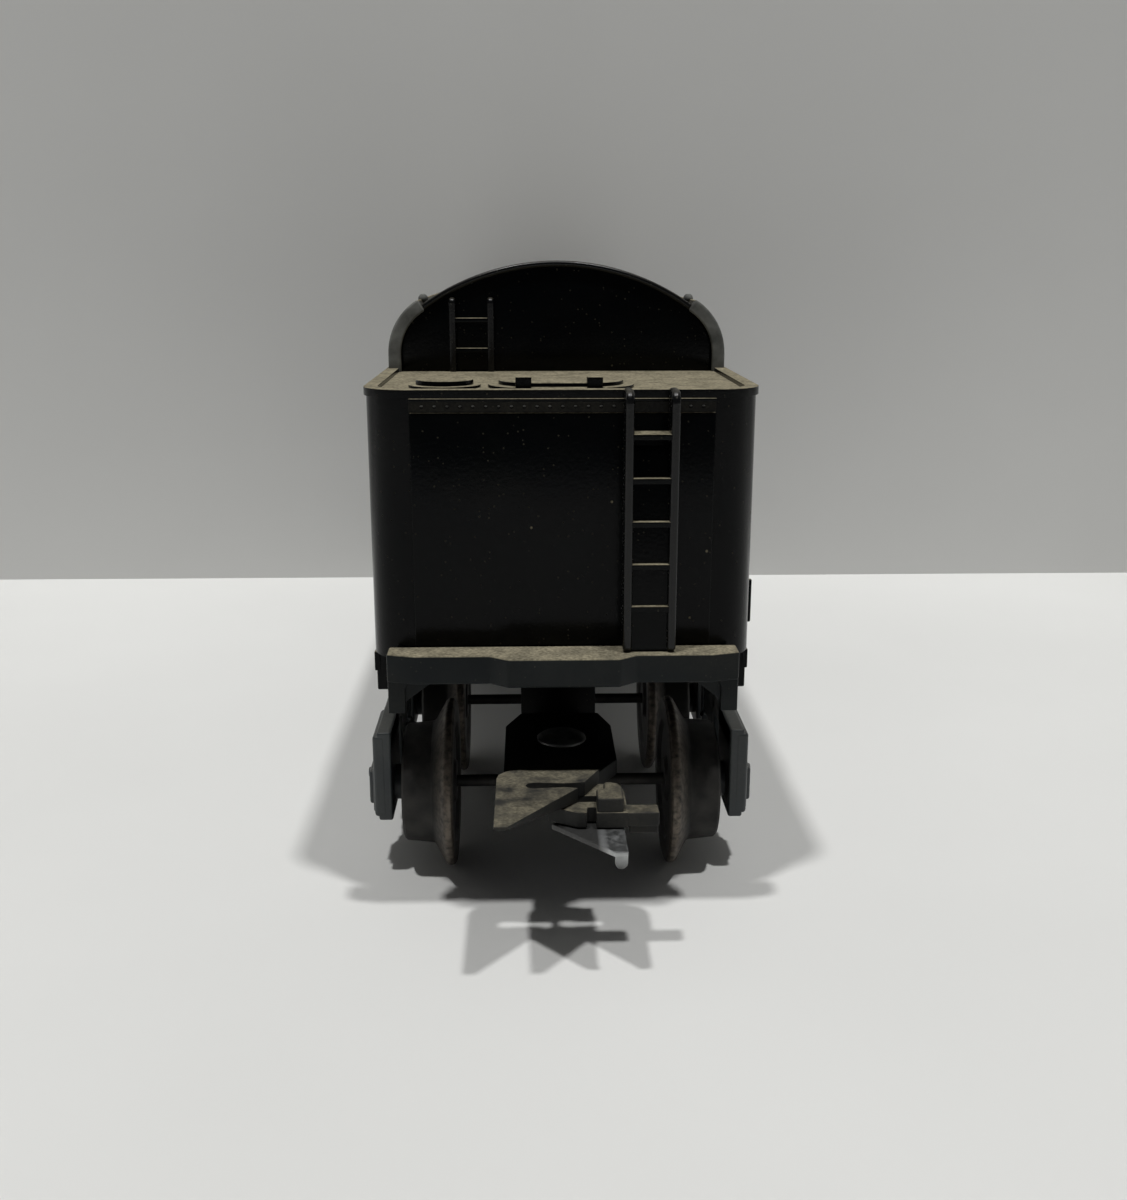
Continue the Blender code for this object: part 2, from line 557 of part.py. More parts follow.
for end, place in (("rear", KINGPIN_U), ("front", BODY_LENGTH - KINGPIN_U)):
    members.append(turned(f"centre_boss_{end}", boss, 20, root, (0, place, 0), closed=True))
add(frame, *members)


# Fasteners


def rivet(name, radius, head, low, high, parent, location):
    """A shouldered rivet: a domed head at each end of a plain shank."""
    bevel = head - 0.3 * HEAD_HEIGHT
    profile = [(0, high + HEAD_HEIGHT), (bevel, high + HEAD_HEIGHT), (head, high + 0.6 * HEAD_HEIGHT),
               (head, high), (radius, high), (radius, low), (head, low), (head, low - 0.6 * HEAD_HEIGHT),
               (bevel, low - HEAD_HEIGHT), (0, low - HEAD_HEIGHT)]
    made = turned(name, profile, 12, parent, location)
    paint(made, STEEL)
    return made


for side, end in SCREW_PLACES:
    screw_u = SCREW_INSET if end == "rear" else BODY_LENGTH - SCREW_INSET
    seat = FLOOR_Z - SEAT_GAP
    tip = FOOT_Z + SCREW_LENGTH
    screw = turned(f"body_screw_{end}_{'left' if side < 0 else 'right'}",
                   [(0, tip), (SCREW_RADIUS, tip - 1 * MM), (SCREW_RADIUS, seat), (1.9 * MM, seat),
                    (1.9 * MM, seat - 0.5 * MM), (1.3 * MM, seat - 1.0 * MM), (0, seat - 1.0 * MM)],
                   12, root, (side * SCREW_X, screw_u, 0))
    paint(screw, STEEL)
for end, place in (("rear", KINGPIN_U), ("front", BODY_LENGTH - KINGPIN_U)):
    rivet(f"{end}_kingpin", KINGPIN_RADIUS, KINGPIN_HEAD, BOLSTER_Z - SEAT_GAP, BOSS_TOP_Z + SEAT_GAP,
          root, (0, place, 0))

# Trucks


def side_frame(truck, side, parent):
    """A moulded side: plate with windows, journal boxes, lids and the spring group."""
    name = f"{truck}_side_frame_{'left' if side < 0 else 'right'}"
    end = WHEELBASE / 2 + PEDESTAL
    top = AXLE_Z + SIDE_FRAME_RISE
    seat = AXLE_Z - SPRING_SEAT_DROP
    pocket = BOLSTER_HALF + RUN_GAP
    inner_end = WHEELBASE / 2 - PEDESTAL
    half = [(end - 0.8 * MM, top), (end, top - 0.8 * MM), (end, AXLE_Z - SIDE_FRAME_DROP),
            (inner_end, AXLE_Z - SIDE_FRAME_DROP), (0.62 * inner_end, seat)]
    centre = rectangle(-pocket, pocket, seat + 2.0 * MM, top - CHORD)
    loops = [mirrored(half), centre]
    inner = pocket + 2.0 * MM
    outer = inner_end - 0.3 * MM
    for hand in (-1, 1):
        loops.append([(hand * inner, seat + 2.4 * MM), (hand * outer, AXLE_Z - SIDE_FRAME_DROP + 2.0 * MM),
                      (hand * outer, top - CHORD), (hand * inner, top - CHORD)])
    plate = slab(name, loops, side * FRAME_X, side * FRAME_OUT, "X", parent)
    paint(plate, FRAME_PLASTIC)
    middle = side * (FRAME_X + FRAME_OUT) / 2
    spring_top = AXLE_Z + SPRING_RISE
    coil = [(0, spring_top)]
    height = spring_top - seat - 1.6 * MM
    for turn in range(4):
        low = spring_top - height * turn / 4
        coil += [(1.25 * MM, low), (1.75 * MM, low - height / 8)]
    coil += [(1.25 * MM, seat + 1.6 * MM), (0, seat + 1.6 * MM)]
    cap_half = BOLSTER_HALF - 0.4 * MM
    cap_back = side * (FRAME_X + 0.1 * MM)
    fittings = [
        block(f"{name}_spring_cap", (cap_back, side * (FRAME_OUT + BOLSTER_PROUD)), (-cap_half, cap_half),
              (spring_top - 0.3 * MM, top - 2.0 * MM), parent),
        block(f"{name}_bolster_seat", (cap_back, side * (FRAME_OUT - 0.1 * MM)), (-BOLSTER_HALF, BOLSTER_HALF),
              (top - 1.0 * MM, BOLSTER_Z - SEAT_GAP), parent),
    ]
    bores = []
    axis = "X" if side > 0 else "-X"
    for hand in (-1, 1):
        place = (0, hand * WHEELBASE / 2, AXLE_Z)
        v = place[1]
        fittings += [
            turned(f"{name}_spring_{hand}", coil, 8, parent, (middle, hand * 2.3 * MM, 0)),
            rod(f"{name}_boss_{hand}", 2.4 * MM, BOSS_X, FRAME_X + 0.4 * MM, 12, parent, place, axis),
            block(f"{name}_box_{hand}", (side * (FRAME_OUT - 0.4 * MM), side * (FRAME_OUT + 0.9 * MM)),
                  (v - 3.6 * MM, v + 3.6 * MM), (AXLE_Z - 3.0 * MM, AXLE_Z + 3.3 * MM), parent),
            block(f"{name}_lid_{hand}", (side * (FRAME_OUT + 0.5 * MM), side * (FRAME_OUT + 1.5 * MM)),
                  (v - 2.6 * MM, v + 2.6 * MM), (AXLE_Z - 2.2 * MM, AXLE_Z + 2.5 * MM), parent),
            rod(f"{name}_nub_{hand}", 0.7 * MM, FRAME_OUT + 1.2 * MM, FRAME_OUT + 1.8 * MM, 8, parent,
                (0, v, AXLE_Z + 1.4 * MM), axis),
        ]
        bores.append(rod(f"{name}_bore_{hand}", AXLE_RADIUS + RUN_GAP, BOSS_X - 1 * MM,
                         FRAME_X + JOURNAL_DEPTH + RUN_GAP, 12, parent, place, axis))
    add(plate, *fittings)
    cut(plate, *bores)


def bolster(truck, parent):
    """The beam across both side frames, with its centre plate and, at the rear, the coupler's tongue."""
    reach = FRAME_OUT + BOLSTER_PROUD
    beam = block(f"{truck}_bolster", (-reach, reach), (-BOLSTER_HALF, BOLSTER_HALF),
                 (BOLSTER_Z, BOLSTER_Z + BOLSTER_HEIGHT), parent)
    paint(beam, FRAME_PLASTIC)
    plates = [rod(f"{truck}_centre_plate", CENTRE_PLATE_RADIUS - 1.4 * MM, BOLSTER_Z + 1 * MM, CENTRE_PLATE_Z,
                  20, parent)]
    bores = [rod(f"{truck}_bore", KINGPIN_RADIUS + RUN_GAP, BOLSTER_Z - 1 * MM, CENTRE_PLATE_Z + 1 * MM,
                 12, parent)]
    if truck == "rear_truck":
        web_rear = -BOLSTER_HALF + 0.1 * MM
        plates.append(block("coupler_web", (-WEB_HALF, WEB_HALF), (web_rear, web_rear + WEB_THICKNESS),
                            (TONGUE_Z + 0.1 * MM, BOLSTER_Z + 0.8 * MM), parent))
        plates.append(block("coupler_tongue", (-TONGUE_HALF, TONGUE_HALF),
                            (RIVET_V - 3.5 * MM, web_rear + 0.7 * WEB_THICKNESS), (TONGUE_Z, TONGUE_TOP), parent))
        bores.append(rod("tongue_bore", RIVET_RADIUS + RUN_GAP, TONGUE_Z - 1 * MM, TONGUE_TOP + 1 * MM, 12,
                         parent, (0, RIVET_V, 0)))
    add(beam, *plates)
    cut(beam, *bores)


def wheelset(truck, end, parent):
    """Two deep-flanged wheels pressed on a plain axle, which turns in the side frames."""
    hub = pivot(f"{truck}_{end}_axis", (0, WHEELBASE / 2 * (1 if end == "front" else -1), AXLE_Z), parent)
    half = FRAME_X + JOURNAL_DEPTH - RUN_GAP
    axle = turned(f"{truck}_{end}_axle",
                  [(0, half), (AXLE_RADIUS - 0.2 * MM, half), (AXLE_RADIUS, half - 0.4 * MM),
                   (AXLE_RADIUS, -half + 0.4 * MM), (AXLE_RADIUS - 0.2 * MM, -half), (0, -half)],
                  12, hub, axis="X")
    paint(axle, STEEL)
    back = BACK_TO_BACK / 2
    bore = AXLE_RADIUS + WHEEL_FIT
    profile = [(bore, back + WHEEL_WIDTH), (2.6 * MM, back + WHEEL_WIDTH), (3.0 * MM, back + WHEEL_WIDTH - 0.9 * MM),
               (TREAD_RADIUS - 2.2 * MM, back + WHEEL_WIDTH - 0.9 * MM),
               (TREAD_RADIUS - 1.6 * MM, back + WHEEL_WIDTH), (TREAD_RADIUS - 0.5 * MM, back + WHEEL_WIDTH),
               (TREAD_RADIUS, back + 2.9 * MM), (FLANGE_RADIUS, back + 1.1 * MM),
               (FLANGE_RADIUS, back + 0.4 * MM), (FLANGE_RADIUS - 0.5 * MM, back), (bore, back)]
    for side in (-1, 1):
        wheel = turned(f"{truck}_{end}_wheel_{'left' if side < 0 else 'right'}", profile, WHEEL_SIDES, hub,
                       axis="X" if side > 0 else "-X", closed=True)
        paint(wheel, WHEEL_METAL)


rear_truck = pivot("rear_truck_axis", (0, KINGPIN_U, 0), root)
front_truck = pivot("front_truck_axis", (0, BODY_LENGTH - KINGPIN_U, 0), root)
for truck, carrier in (("rear_truck", rear_truck), ("front_truck", front_truck)):
    bolster(truck, carrier)
    side_frame(truck, -1, carrier)
    side_frame(truck, 1, carrier)
    wheelset(truck, "rear", carrier)
    wheelset(truck, "front", carrier)

# Tilting coupler on the rear truck's tongue. `t` runs back from the rear edge of the neck.
coupler_axis = pivot("coupler_axis", (0, RIVET_V, TILT_Z), rear_truck)
SHANK_TOP = 2.6 * MM
rivet_low = TONGUE_Z - SEAT_GAP
rivet("coupler_rivet", RIVET_RADIUS, 3.2 * MM, rivet_low, TILT_Z + SHANK_TOP + TILT_SLACK, rear_truck,
      (0, RIVET_V, 0))


def head_point(x, t):
    return (x, -SHANK_LENGTH - t)


LOW_PLATE = -0.3 * MM
STEP = LOW_PLATE + COUPLER_PLATE
TOP_PLATE = STEP + COUPLER_PLATE - 0.1 * MM
shank = [(-7.4 * MM, -SHANK_LENGTH - 1 * MM), (-7.4 * MM, 6.9 * MM), (-5.4 * MM, 12.0 * MM),
         (5.4 * MM, 12.0 * MM), (6.9 * MM, 6.9 * MM), (6.9 * MM, -5.7 * MM), (3.8 * MM, -SHANK_LENGTH),
         (3.8 * MM, -SHANK_LENGTH - 1 * MM)]
head = slab("coupler_head", [shank], 0.5 * MM, SHANK_TOP, "Z", coupler_axis)
paint(head, FRAME_PLASTIC)
rocker = rectangle(-1.6 * MM, 1.6 * MM, 0, 0.8 * MM)
levels = [slab("coupler_rocker", [rocker], -6 * MM, 10 * MM, "Y", coupler_axis)]
upper = [head_point(4.4 * MM, 0), head_point(1.5 * MM, 0.355 * HEAD_LENGTH),
         head_point(-HEAD_HALF + 1.5 * MM, HEAD_LENGTH), head_point(-HEAD_HALF, HEAD_LENGTH)]
upper += arc(head_point(-HEAD_HALF + 2.6 * MM, 2.6 * MM), 2.6 * MM, 180, 90, 4)
levels.append(slab("coupler_upper_plate", [upper], STEP - 0.1 * MM, TOP_PLATE, "Z", coupler_axis))
lower_right = HEAD_HALF - 0.9 * MM
lower = [head_point(-2.0 * MM, 0.3 * MM), head_point(-2.0 * MM, 0.42 * HEAD_LENGTH),
         head_point(1.6 * MM, 0.55 * HEAD_LENGTH), head_point(lower_right, 0.55 * HEAD_LENGTH)]
lower += arc(head_point(lower_right - 2.4 * MM, 2.7 * MM), 2.4 * MM, 0, 90, 4)
levels.append(slab("coupler_lower_plate", [lower], LOW_PLATE, STEP, "Z", coupler_axis))
lug = [head_point(3.7 * MM, 0.23 * HEAD_LENGTH), head_point(3.7 * MM, 0.48 * HEAD_LENGTH),
       head_point(6.8 * MM, 0.48 * HEAD_LENGTH)]
lug += arc(head_point(5.5 * MM, 0.31 * HEAD_LENGTH), 1.3 * MM, 0, 90, 4)
levels.append(slab("coupler_lug", [lug], LOW_PLATE + 0.2 * MM, TOP_PLATE - 0.05 * MM, "Z", coupler_axis))
stub_end = HEAD_HALF + 2.8 * MM
stub = [head_point(lower_right - 1 * MM, 0.39 * HEAD_LENGTH), head_point(stub_end, 0.39 * HEAD_LENGTH),
        head_point(stub_end, 0.54 * HEAD_LENGTH), head_point(lower_right - 1 * MM, 0.54 * HEAD_LENGTH)]
levels.append(slab("coupler_stub", [stub], LOW_PLATE + 0.05 * MM, STEP - 0.05 * MM, "Z", coupler_axis))
foot_left = lower_right + 0.2 * MM
foot_right = stub_end - 0.1 * MM
stub_foot = [head_point(foot_left, 0.4 * HEAD_LENGTH), head_point(foot_right, 0.4 * HEAD_LENGTH),
             head_point(foot_right, 0.53 * HEAD_LENGTH), head_point(foot_left, 0.53 * HEAD_LENGTH)]
levels.append(slab("coupler_stub_foot", [stub_foot], LOW_PLATE - 0.9 * MM, STEP - 0.4 * MM, "Z", coupler_axis))
slot_t = 0.295 * HEAD_LENGTH
slot = [head_point(SLOT_HALF, slot_t - 0.85 * MM), head_point(0, slot_t - 0.55 * MM),
        head_point(-SLOT_HALF, slot_t - 0.85 * MM), head_point(-SLOT_HALF, slot_t + 0.85 * MM),
        head_point(0, slot_t + 0.55 * MM), head_point(SLOT_HALF, slot_t + 0.85 * MM)]
openings = [slab("coupler_slot", [slot], LOW_PLATE - 1 * MM, TOP_PLATE + 1 * MM, "Z", coupler_axis),
            rod("coupler_bore", RIVET_RADIUS + 0.6 * MM, -1 * MM, SHANK_TOP + 1 * MM, 14, coupler_axis)]
stake = head_point(0.5 * HEAD_HALF, 0.12 * HEAD_LENGTH)
trip_top = LOW_PLATE - SEAT_GAP
trip_low = trip_top - TRIP_THICKNESS
levels.append(rod("coupler_stake", 0.8 * MM, trip_low - 0.3 * MM, LOW_PLATE + 0.4 * MM, 10, coupler_axis,
                  (stake[0], stake[1], 0)))
add(head, *levels)
cut(head, *openings)

# Sprung-metal trip plate under the head, bent down at its tip
trip_right = HEAD_HALF - 1.3 * MM
trip = [head_point(0.2 * HEAD_HALF, 0.3 * MM), head_point(0.2 * HEAD_HALF, 0.3 * HEAD_LENGTH),
        head_point(-0.2 * HEAD_HALF, 0.44 * HEAD_LENGTH), head_point(trip_right - 1.5 * MM, TRIP_LENGTH),
        head_point(trip_right, TRIP_LENGTH), head_point(trip_right, 0.3 * MM)]
tongue = slab("coupler_trip_plate", [trip], trip_low, trip_top, "Z", coupler_axis)
paint(tongue, STEEL)
finger = [(trip_right - 1.49 * MM, trip_low + 0.4 * MM)]
finger += arc((trip_right - 0.75 * MM, trip_low - TRIP_DROP + 0.74 * MM), 0.74 * MM, 180, 360, 6)
finger += [(trip_right - 0.01 * MM, trip_low + 0.4 * MM)]
tip = -SHANK_LENGTH - TRIP_LENGTH
add(tongue, slab("trip_finger", [finger], tip + 0.01 * MM, tip + TRIP_THICKNESS, "Y", coupler_axis))
cut(tongue, rod("stake_bore", 0.8 * MM + RUN_GAP, trip_low - 1 * MM, trip_top + 1 * MM, 12, coupler_axis,
                (stake[0], stake[1], 0)))

# Steel drawbar that hooks over a pin on the locomotive
drawbar_axis = pivot("drawbar_axis", (0, DRAWBAR_U, DRAWBAR_TOP), root)
eye_small = DRAWBAR_EYE - 0.4 * MM
bar_half = 2.2 * MM
front_angle = math.degrees(math.asin(bar_half / DRAWBAR_EYE))
rear_angle = math.degrees(math.asin(bar_half / eye_small))
bar = arc((0, 0), eye_small, 90 + rear_angle, 450 - rear_angle, 16)
bar += arc((0, DRAWBAR_LENGTH), DRAWBAR_EYE, front_angle - 90, 270 - front_angle, 16)
holes = [arc((0, 0), RIVET_RADIUS + RUN_GAP, 0, 330, 11), arc((0, DRAWBAR_LENGTH), DRAWBAR_HOLE, 0, 337.5, 15)]
drawbar = slab("drawbar", [bar] + holes, -DRAWBAR_THICKNESS, 0, "Z", drawbar_axis)
paint(drawbar, STEEL)
rivet("drawbar_rivet", RIVET_RADIUS, 2.6 * MM, FLOOR_Z - 2 * SEAT_GAP - DRAWBAR_THICKNESS,
      FLOOR_TOP_Z + SEAT_GAP, root, (0, DRAWBAR_U, 0))
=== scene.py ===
"""Dressed model of a toy steam-locomotive tender, seen from behind, on a pale studio floor."""
import math
import random

import bmesh
import bpy
from mathutils import Matrix, Vector, noise
from mathutils.bvhtree import BVHTree


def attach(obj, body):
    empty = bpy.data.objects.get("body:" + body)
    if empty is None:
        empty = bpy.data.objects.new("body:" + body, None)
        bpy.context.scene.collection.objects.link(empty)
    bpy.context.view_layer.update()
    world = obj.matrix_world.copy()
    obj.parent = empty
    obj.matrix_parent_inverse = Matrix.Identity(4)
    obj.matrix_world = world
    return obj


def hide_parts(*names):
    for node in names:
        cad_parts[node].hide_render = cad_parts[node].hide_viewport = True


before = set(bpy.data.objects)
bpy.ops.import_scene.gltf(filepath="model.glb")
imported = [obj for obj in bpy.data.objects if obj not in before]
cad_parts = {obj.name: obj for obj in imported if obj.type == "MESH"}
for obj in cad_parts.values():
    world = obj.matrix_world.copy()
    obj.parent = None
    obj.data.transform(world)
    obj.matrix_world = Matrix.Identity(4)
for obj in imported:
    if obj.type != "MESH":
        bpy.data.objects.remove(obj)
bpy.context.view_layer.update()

# Tank: the black plastic moulding that carries everything else, with large radii at its rear corners.
# It is moulded in one shot, open underneath, and held to the underframe by four screws.
# Sizes in this file are millimetres, and each piece is scaled to metres when it is made.
MM = 0.001
TANK_HALF = 23.5
TANK_REAR = -78.7
TANK_FRONT = 81.3
TANK_FOOT = 33.1
TANK_WALL = 1.6
REAR_CORNER = 5.5
FRONT_CORNER = 1.5
DECK = 65.5
COPING = 0.3
COPING_HALF_HEIGHT = 0.5
COPING_WIDTH = 1.7
SKIRT_FOOT = 27.5
SKIRT_INSET = 5.5
SILL = (30.1, 32.6)


def round_edges(shape, radius, segments=2, edges=None):
    """Rounds the given edges, or every edge that turns by more than thirty degrees."""
    if edges is None:
        edges = [edge for edge in shape.edges if edge.calc_face_angle(0.0) > math.radians(30)]
    bmesh.ops.bevel(shape, geom=edges, affect="EDGES", offset_type="OFFSET", offset=radius,
                    segments=segments, profile=0.5, material=-1, clamp_overlap=True)


def round_corners(shape, corners):
    """Rounds the upright edges at each end, given as the end's place, a radius and segments."""
    for end, radius, segments in corners:
        uprights = [edge for edge in shape.edges
                    if all(abs(vert.co.y - end) < 0.01 for vert in edge.verts)
                    and abs(edge.verts[0].co.z - edge.verts[1].co.z) > 0.5]
        round_edges(shape, radius, segments, uprights)


def block(x, y, z, radius=0.15, segments=2):
    """A block between two limits on each axis, with its edges rounded."""
    shape = bmesh.new()
    bmesh.ops.create_cube(shape, size=1.0)
    bmesh.ops.scale(shape, vec=[abs(b - a) for a, b in (x, y, z)], verts=shape.verts)
    bmesh.ops.translate(shape, vec=[(a + b) / 2 for a, b in (x, y, z)], verts=shape.verts)
    if radius:
        round_edges(shape, radius, segments)
    return shape


def make_piece(name, shapes, finish, slot, body, *nodes, flat=True):
    """Joins shapes into one object that rides on a body and stands for the named CAD nodes.

    A flat piece keeps its large faces evenly shaded right up to their rounded edges.
    """
    whole = bmesh.new()
    for shape in shapes:
        part = bpy.data.meshes.new(name)
        shape.to_mesh(part)
        shape.free()
        whole.from_mesh(part)
        bpy.data.meshes.remove(part)
    bmesh.ops.scale(whole, vec=(MM, MM, MM), verts=whole.verts)
    mesh = bpy.data.meshes.new(name)
    whole.to_mesh(mesh)
    whole.free()
    mesh.shade_smooth()
    mesh.set_sharp_from_angle(angle=math.radians(32))
    mesh.materials.append(finish)
    piece = bpy.data.objects.new(name, mesh)
    bpy.context.scene.collection.objects.link(piece)
    if flat:
        piece.modifiers.new("flat_faces", "WEIGHTED_NORMAL").keep_sharp = True
    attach(piece, body)
    if nodes:
        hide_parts(*nodes)
    return piece


def new_finish(name):
    """A node material, with its shader and the coordinates its patterns read."""
    finish = bpy.data.materials.new(name)
    finish.use_nodes = True
    tree = finish.node_tree
    return finish, tree, tree.nodes["Principled BSDF"], tree.nodes.new("ShaderNodeTexCoord")


def spread(tree, value, low, high, bottom=0.0, top=1.0):
    """A value mapped from low..high to bottom..top and clamped."""
    ramp = tree.nodes.new("ShaderNodeMapRange")
    ramp.inputs["From Min"].default_value = low
    ramp.inputs["From Max"].default_value = high
    ramp.inputs["To Min"].default_value = bottom
    ramp.inputs["To Max"].default_value = top
    tree.links.new(value, ramp.inputs["Value"])
    return ramp.outputs["Result"]


def blotches(tree, place, scale, low, high, detail=3.0):
    """Noise on the piece's own coordinates, stretched so that low to high fills 0 to 1."""
    cloud = tree.nodes.new("ShaderNodeTexNoise")
    cloud.inputs["Scale"].default_value = scale
    cloud.inputs["Detail"].default_value = detail
    tree.links.new(place.outputs["Object"], cloud.inputs["Vector"])
    return spread(tree, cloud.outputs["Fac"], low, high)


def combine(tree, operation, first, second):
    """Two values, or a value and a number, put through one operation."""
    step = tree.nodes.new("ShaderNodeMath")
    step.operation = operation
    tree.links.new(first, step.inputs[0])
    if isinstance(second, float):
        step.inputs[1].default_value = second
    else:
        tree.links.new(second, step.inputs[1])
    return step.outputs["Value"]


def blend_colour(tree, factor, first, second):
    """A colour between two others, each a socket or an RGB triple."""
    mix = tree.nodes.new("ShaderNodeMix")
    mix.data_type = "RGBA"
    tree.links.new(factor, mix.inputs["Factor"])
    for socket, colour in ((mix.inputs[6], first), (mix.inputs[7], second)):
        if isinstance(colour, tuple):
            socket.default_value = (*colour, 1.0)
        else:
            tree.links.new(colour, socket)
    return mix.outputs[2]


def lint(tree, place, scale, reach, share):
    """Sparse specks: the middles of a share of the cells of a cell pattern."""
    cells = tree.nodes.new("ShaderNodeTexVoronoi")
    cells.inputs["Scale"].default_value = scale
    tree.links.new(place.outputs["Object"], cells.inputs["Vector"])
    core = spread(tree, cells.outputs["Distance"], reach, reach * 0.5)
    pick = tree.nodes.new("ShaderNodeSeparateColor")
    tree.links.new(cells.outputs["Color"], pick.inputs["Color"])
    chosen = combine(tree, "LESS_THAN", pick.outputs["Red"], share)
    return combine(tree, "MULTIPLY", core, chosen)


def grain(tree, place, shader, scale, strength, depth):
    """A fine bump over the whole surface."""
    cloud = tree.nodes.new("ShaderNodeTexNoise")
    cloud.inputs["Scale"].default_value = scale
    tree.links.new(place.outputs["Object"], cloud.inputs["Vector"])
    bump = tree.nodes.new("ShaderNodeBump")
    bump.inputs["Strength"].default_value = strength
    bump.inputs["Distance"].default_value = depth
    tree.links.new(cloud.outputs["Fac"], bump.inputs["Height"])
    tree.links.new(bump.outputs["Normal"], shader.inputs["Normal"])


DUST_DARK = (0.17, 0.15, 0.1)
DUST_PALE = (0.42, 0.375, 0.262)
# Grey taken by marked places: dust on some parts, painted sheen or a painted highlight on others.
GREY_DUST_AND_SHEEN = (0.27, 0.275, 0.258)


def dusty_plastic(name, dark, light, gloss, shine, cover, veil, thin=0.6):
    """Moulded plastic, with beige dust on what faces up, lint, and grey marks of dust and painted sheen.

    Gloss is the bare plastic's roughness and shine its specular level. Cover is how thick the dust
    lies, thin how much of it the barest patches keep, and veil the haze on upright faces.
    """
    finish, tree, shader, place = new_finish(name)
    facing = tree.nodes.new("ShaderNodeSeparateXYZ")
    tree.links.new(place.outputs["Normal"], facing.inputs["Vector"])
    lying = spread(tree, facing.outputs["Z"], 0.5, 0.95)
    patches = spread(tree, blotches(tree, place, 420.0, 0.3, 0.62, 6.0), 0.0, 1.0, thin, 1.0)
    dust = combine(tree, "MULTIPLY", combine(tree, "MULTIPLY", lying, patches), cover)
    marked = tree.nodes.new("ShaderNodeAttribute")
    marked.attribute_name = "dust_and_sheen"
    film_and_sheen = combine(tree, "MULTIPLY", marked.outputs["Fac"], spread(tree, patches, thin, 1.0, 0.45, 1.0))
    haze = combine(tree, "MULTIPLY", blotches(tree, place, 160.0, 0.35, 0.75, 6.0), veil)
    fluff = combine(tree, "MULTIPLY", lint(tree, place, 520.0, 0.12, 0.05), 0.45)
    grit = combine(tree, "MULTIPLY", lint(tree, place, 1700.0, 0.24, 0.2), 0.08)
    for layer in (film_and_sheen, haze, fluff, grit):
        dust = combine(tree, "MAXIMUM", dust, layer)
    plastic = blend_colour(tree, blotches(tree, place, 90.0, 0.35, 0.7), dark, light)
    powder = blend_colour(tree, blotches(tree, place, 2600.0, 0.3, 0.7, 5.0), DUST_DARK, DUST_PALE)
    powder = blend_colour(tree, spread(tree, marked.outputs["Fac"], 0.0, 0.6), powder, GREY_DUST_AND_SHEEN)
    tree.links.new(blend_colour(tree, dust, plastic, powder), shader.inputs["Base Color"])
    tree.links.new(spread(tree, dust, 0.0, 0.35, gloss, 0.95), shader.inputs["Roughness"])
    shader.inputs["Specular IOR Level"].default_value = shine
    grain(tree, place, shader, 2400.0, 0.12, 0.00012)
    return finish


black_plastic = dusty_plastic("dusty_black_plastic", (0.0003, 0.0007, 0.001), (0.0008, 0.0014, 0.0018),
                              gloss=0.2, shine=0.1, cover=0.9, veil=0.004)

walls = block((-TANK_HALF, TANK_HALF), (TANK_REAR, TANK_FRONT), (TANK_FOOT, DECK - 0.1), 0)
round_corners(walls, ((TANK_REAR, REAR_CORNER, 14), (TANK_FRONT, FRONT_CORNER, 6)))
underside = [face for face in walls.faces if face.normal.z < -0.9]
bmesh.ops.delete(walls, geom=underside, context="FACES_ONLY")
bmesh.ops.solidify(walls, geom=walls.faces, thickness=TANK_WALL)
tank = [walls]
for side in (-1, 1):
    tank.append(block((side * (TANK_HALF - TANK_WALL), side * TANK_HALF),
                      (TANK_REAR + SKIRT_INSET, TANK_FRONT - SKIRT_INSET),
                      (SKIRT_FOOT, TANK_FOOT + 0.3), 0.2))
    tank.append(block((side * (TANK_HALF - 0.5), side * (TANK_HALF + 0.25)),
                      (TANK_REAR + 5.4, TANK_FRONT - 0.2), SILL, 0.12))

coping = block((-TANK_HALF - COPING, TANK_HALF + COPING), (TANK_REAR - COPING, TANK_FRONT + COPING),
               (DECK - COPING_HALF_HEIGHT, DECK + COPING_HALF_HEIGHT), 0)
round_corners(coping, ((TANK_REAR - COPING, REAR_CORNER + COPING, 14),
                       (TANK_FRONT + COPING, FRONT_CORNER, 6)))
top = [face for face in coping.faces if face.normal.z > 0.9]
bmesh.ops.inset_region(coping, faces=top, thickness=COPING_WIDTH, use_even_offset=True)
bmesh.ops.inset_region(coping, faces=top, thickness=0.06, use_even_offset=True)
bmesh.ops.translate(coping, vec=(0, 0, -COPING_HALF_HEIGHT),
                    verts=list({vert for face in top for vert in face.verts}))
lip = [edge for edge in coping.edges if edge.calc_face_angle(0.0) > math.radians(50)]
round_edges(coping, 0.12, 2, lip)
tank.append(coping)
make_piece("tank_walls", tank, black_plastic, "tank_plastic", "tender_body", "tank_shell")

# Seams of the tank: the rear wall's raised panel, the strip under the coping, rivet heads and a grab iron.
# On the real moulding they stand out of the wall by a few tenths of a millimetre.
PANEL_HALF = 18.0
PANEL_ROOT = TANK_REAR + 0.6
RIVET_PITCH = 1.5
RIVET_HEAD = 0.23
RIVET_ROW = 64.0
FOOT_ROW = 35.9
SEAM_FOOT = 36.6
SEAM_TOP = 63.2
SIDE_SEAMS = (-47.0, -4.0, 38.5)
BEHIND_LADDER = (7.2, 13.6)
GRAB_IRON = (36.0, 41.6)
seams = [
    block((-PANEL_HALF, PANEL_HALF), (TANK_REAR - 0.04, PANEL_ROOT), (63.0, 64.8), 0),
    block((-PANEL_HALF, PANEL_HALF), (TANK_REAR - 0.3, PANEL_ROOT), (35.0, 63.35), 0.22, 3),
    block((-PANEL_HALF, PANEL_HALF), (TANK_REAR - 0.6, PANEL_ROOT), (64.62, 65.0), 0.12, 3),
    block((TANK_HALF + 0.05, TANK_HALF + 0.55), (TANK_REAR + 6.0, TANK_REAR + 6.6), GRAB_IRON, 0.2, 3),
]
for height in (GRAB_IRON[0], GRAB_IRON[1] - 0.4):
    seams.append(block((TANK_HALF - 0.2, TANK_HALF + 0.4), (TANK_REAR + 6.1, TANK_REAR + 6.5),
                       (height, height + 0.4), 0.1))


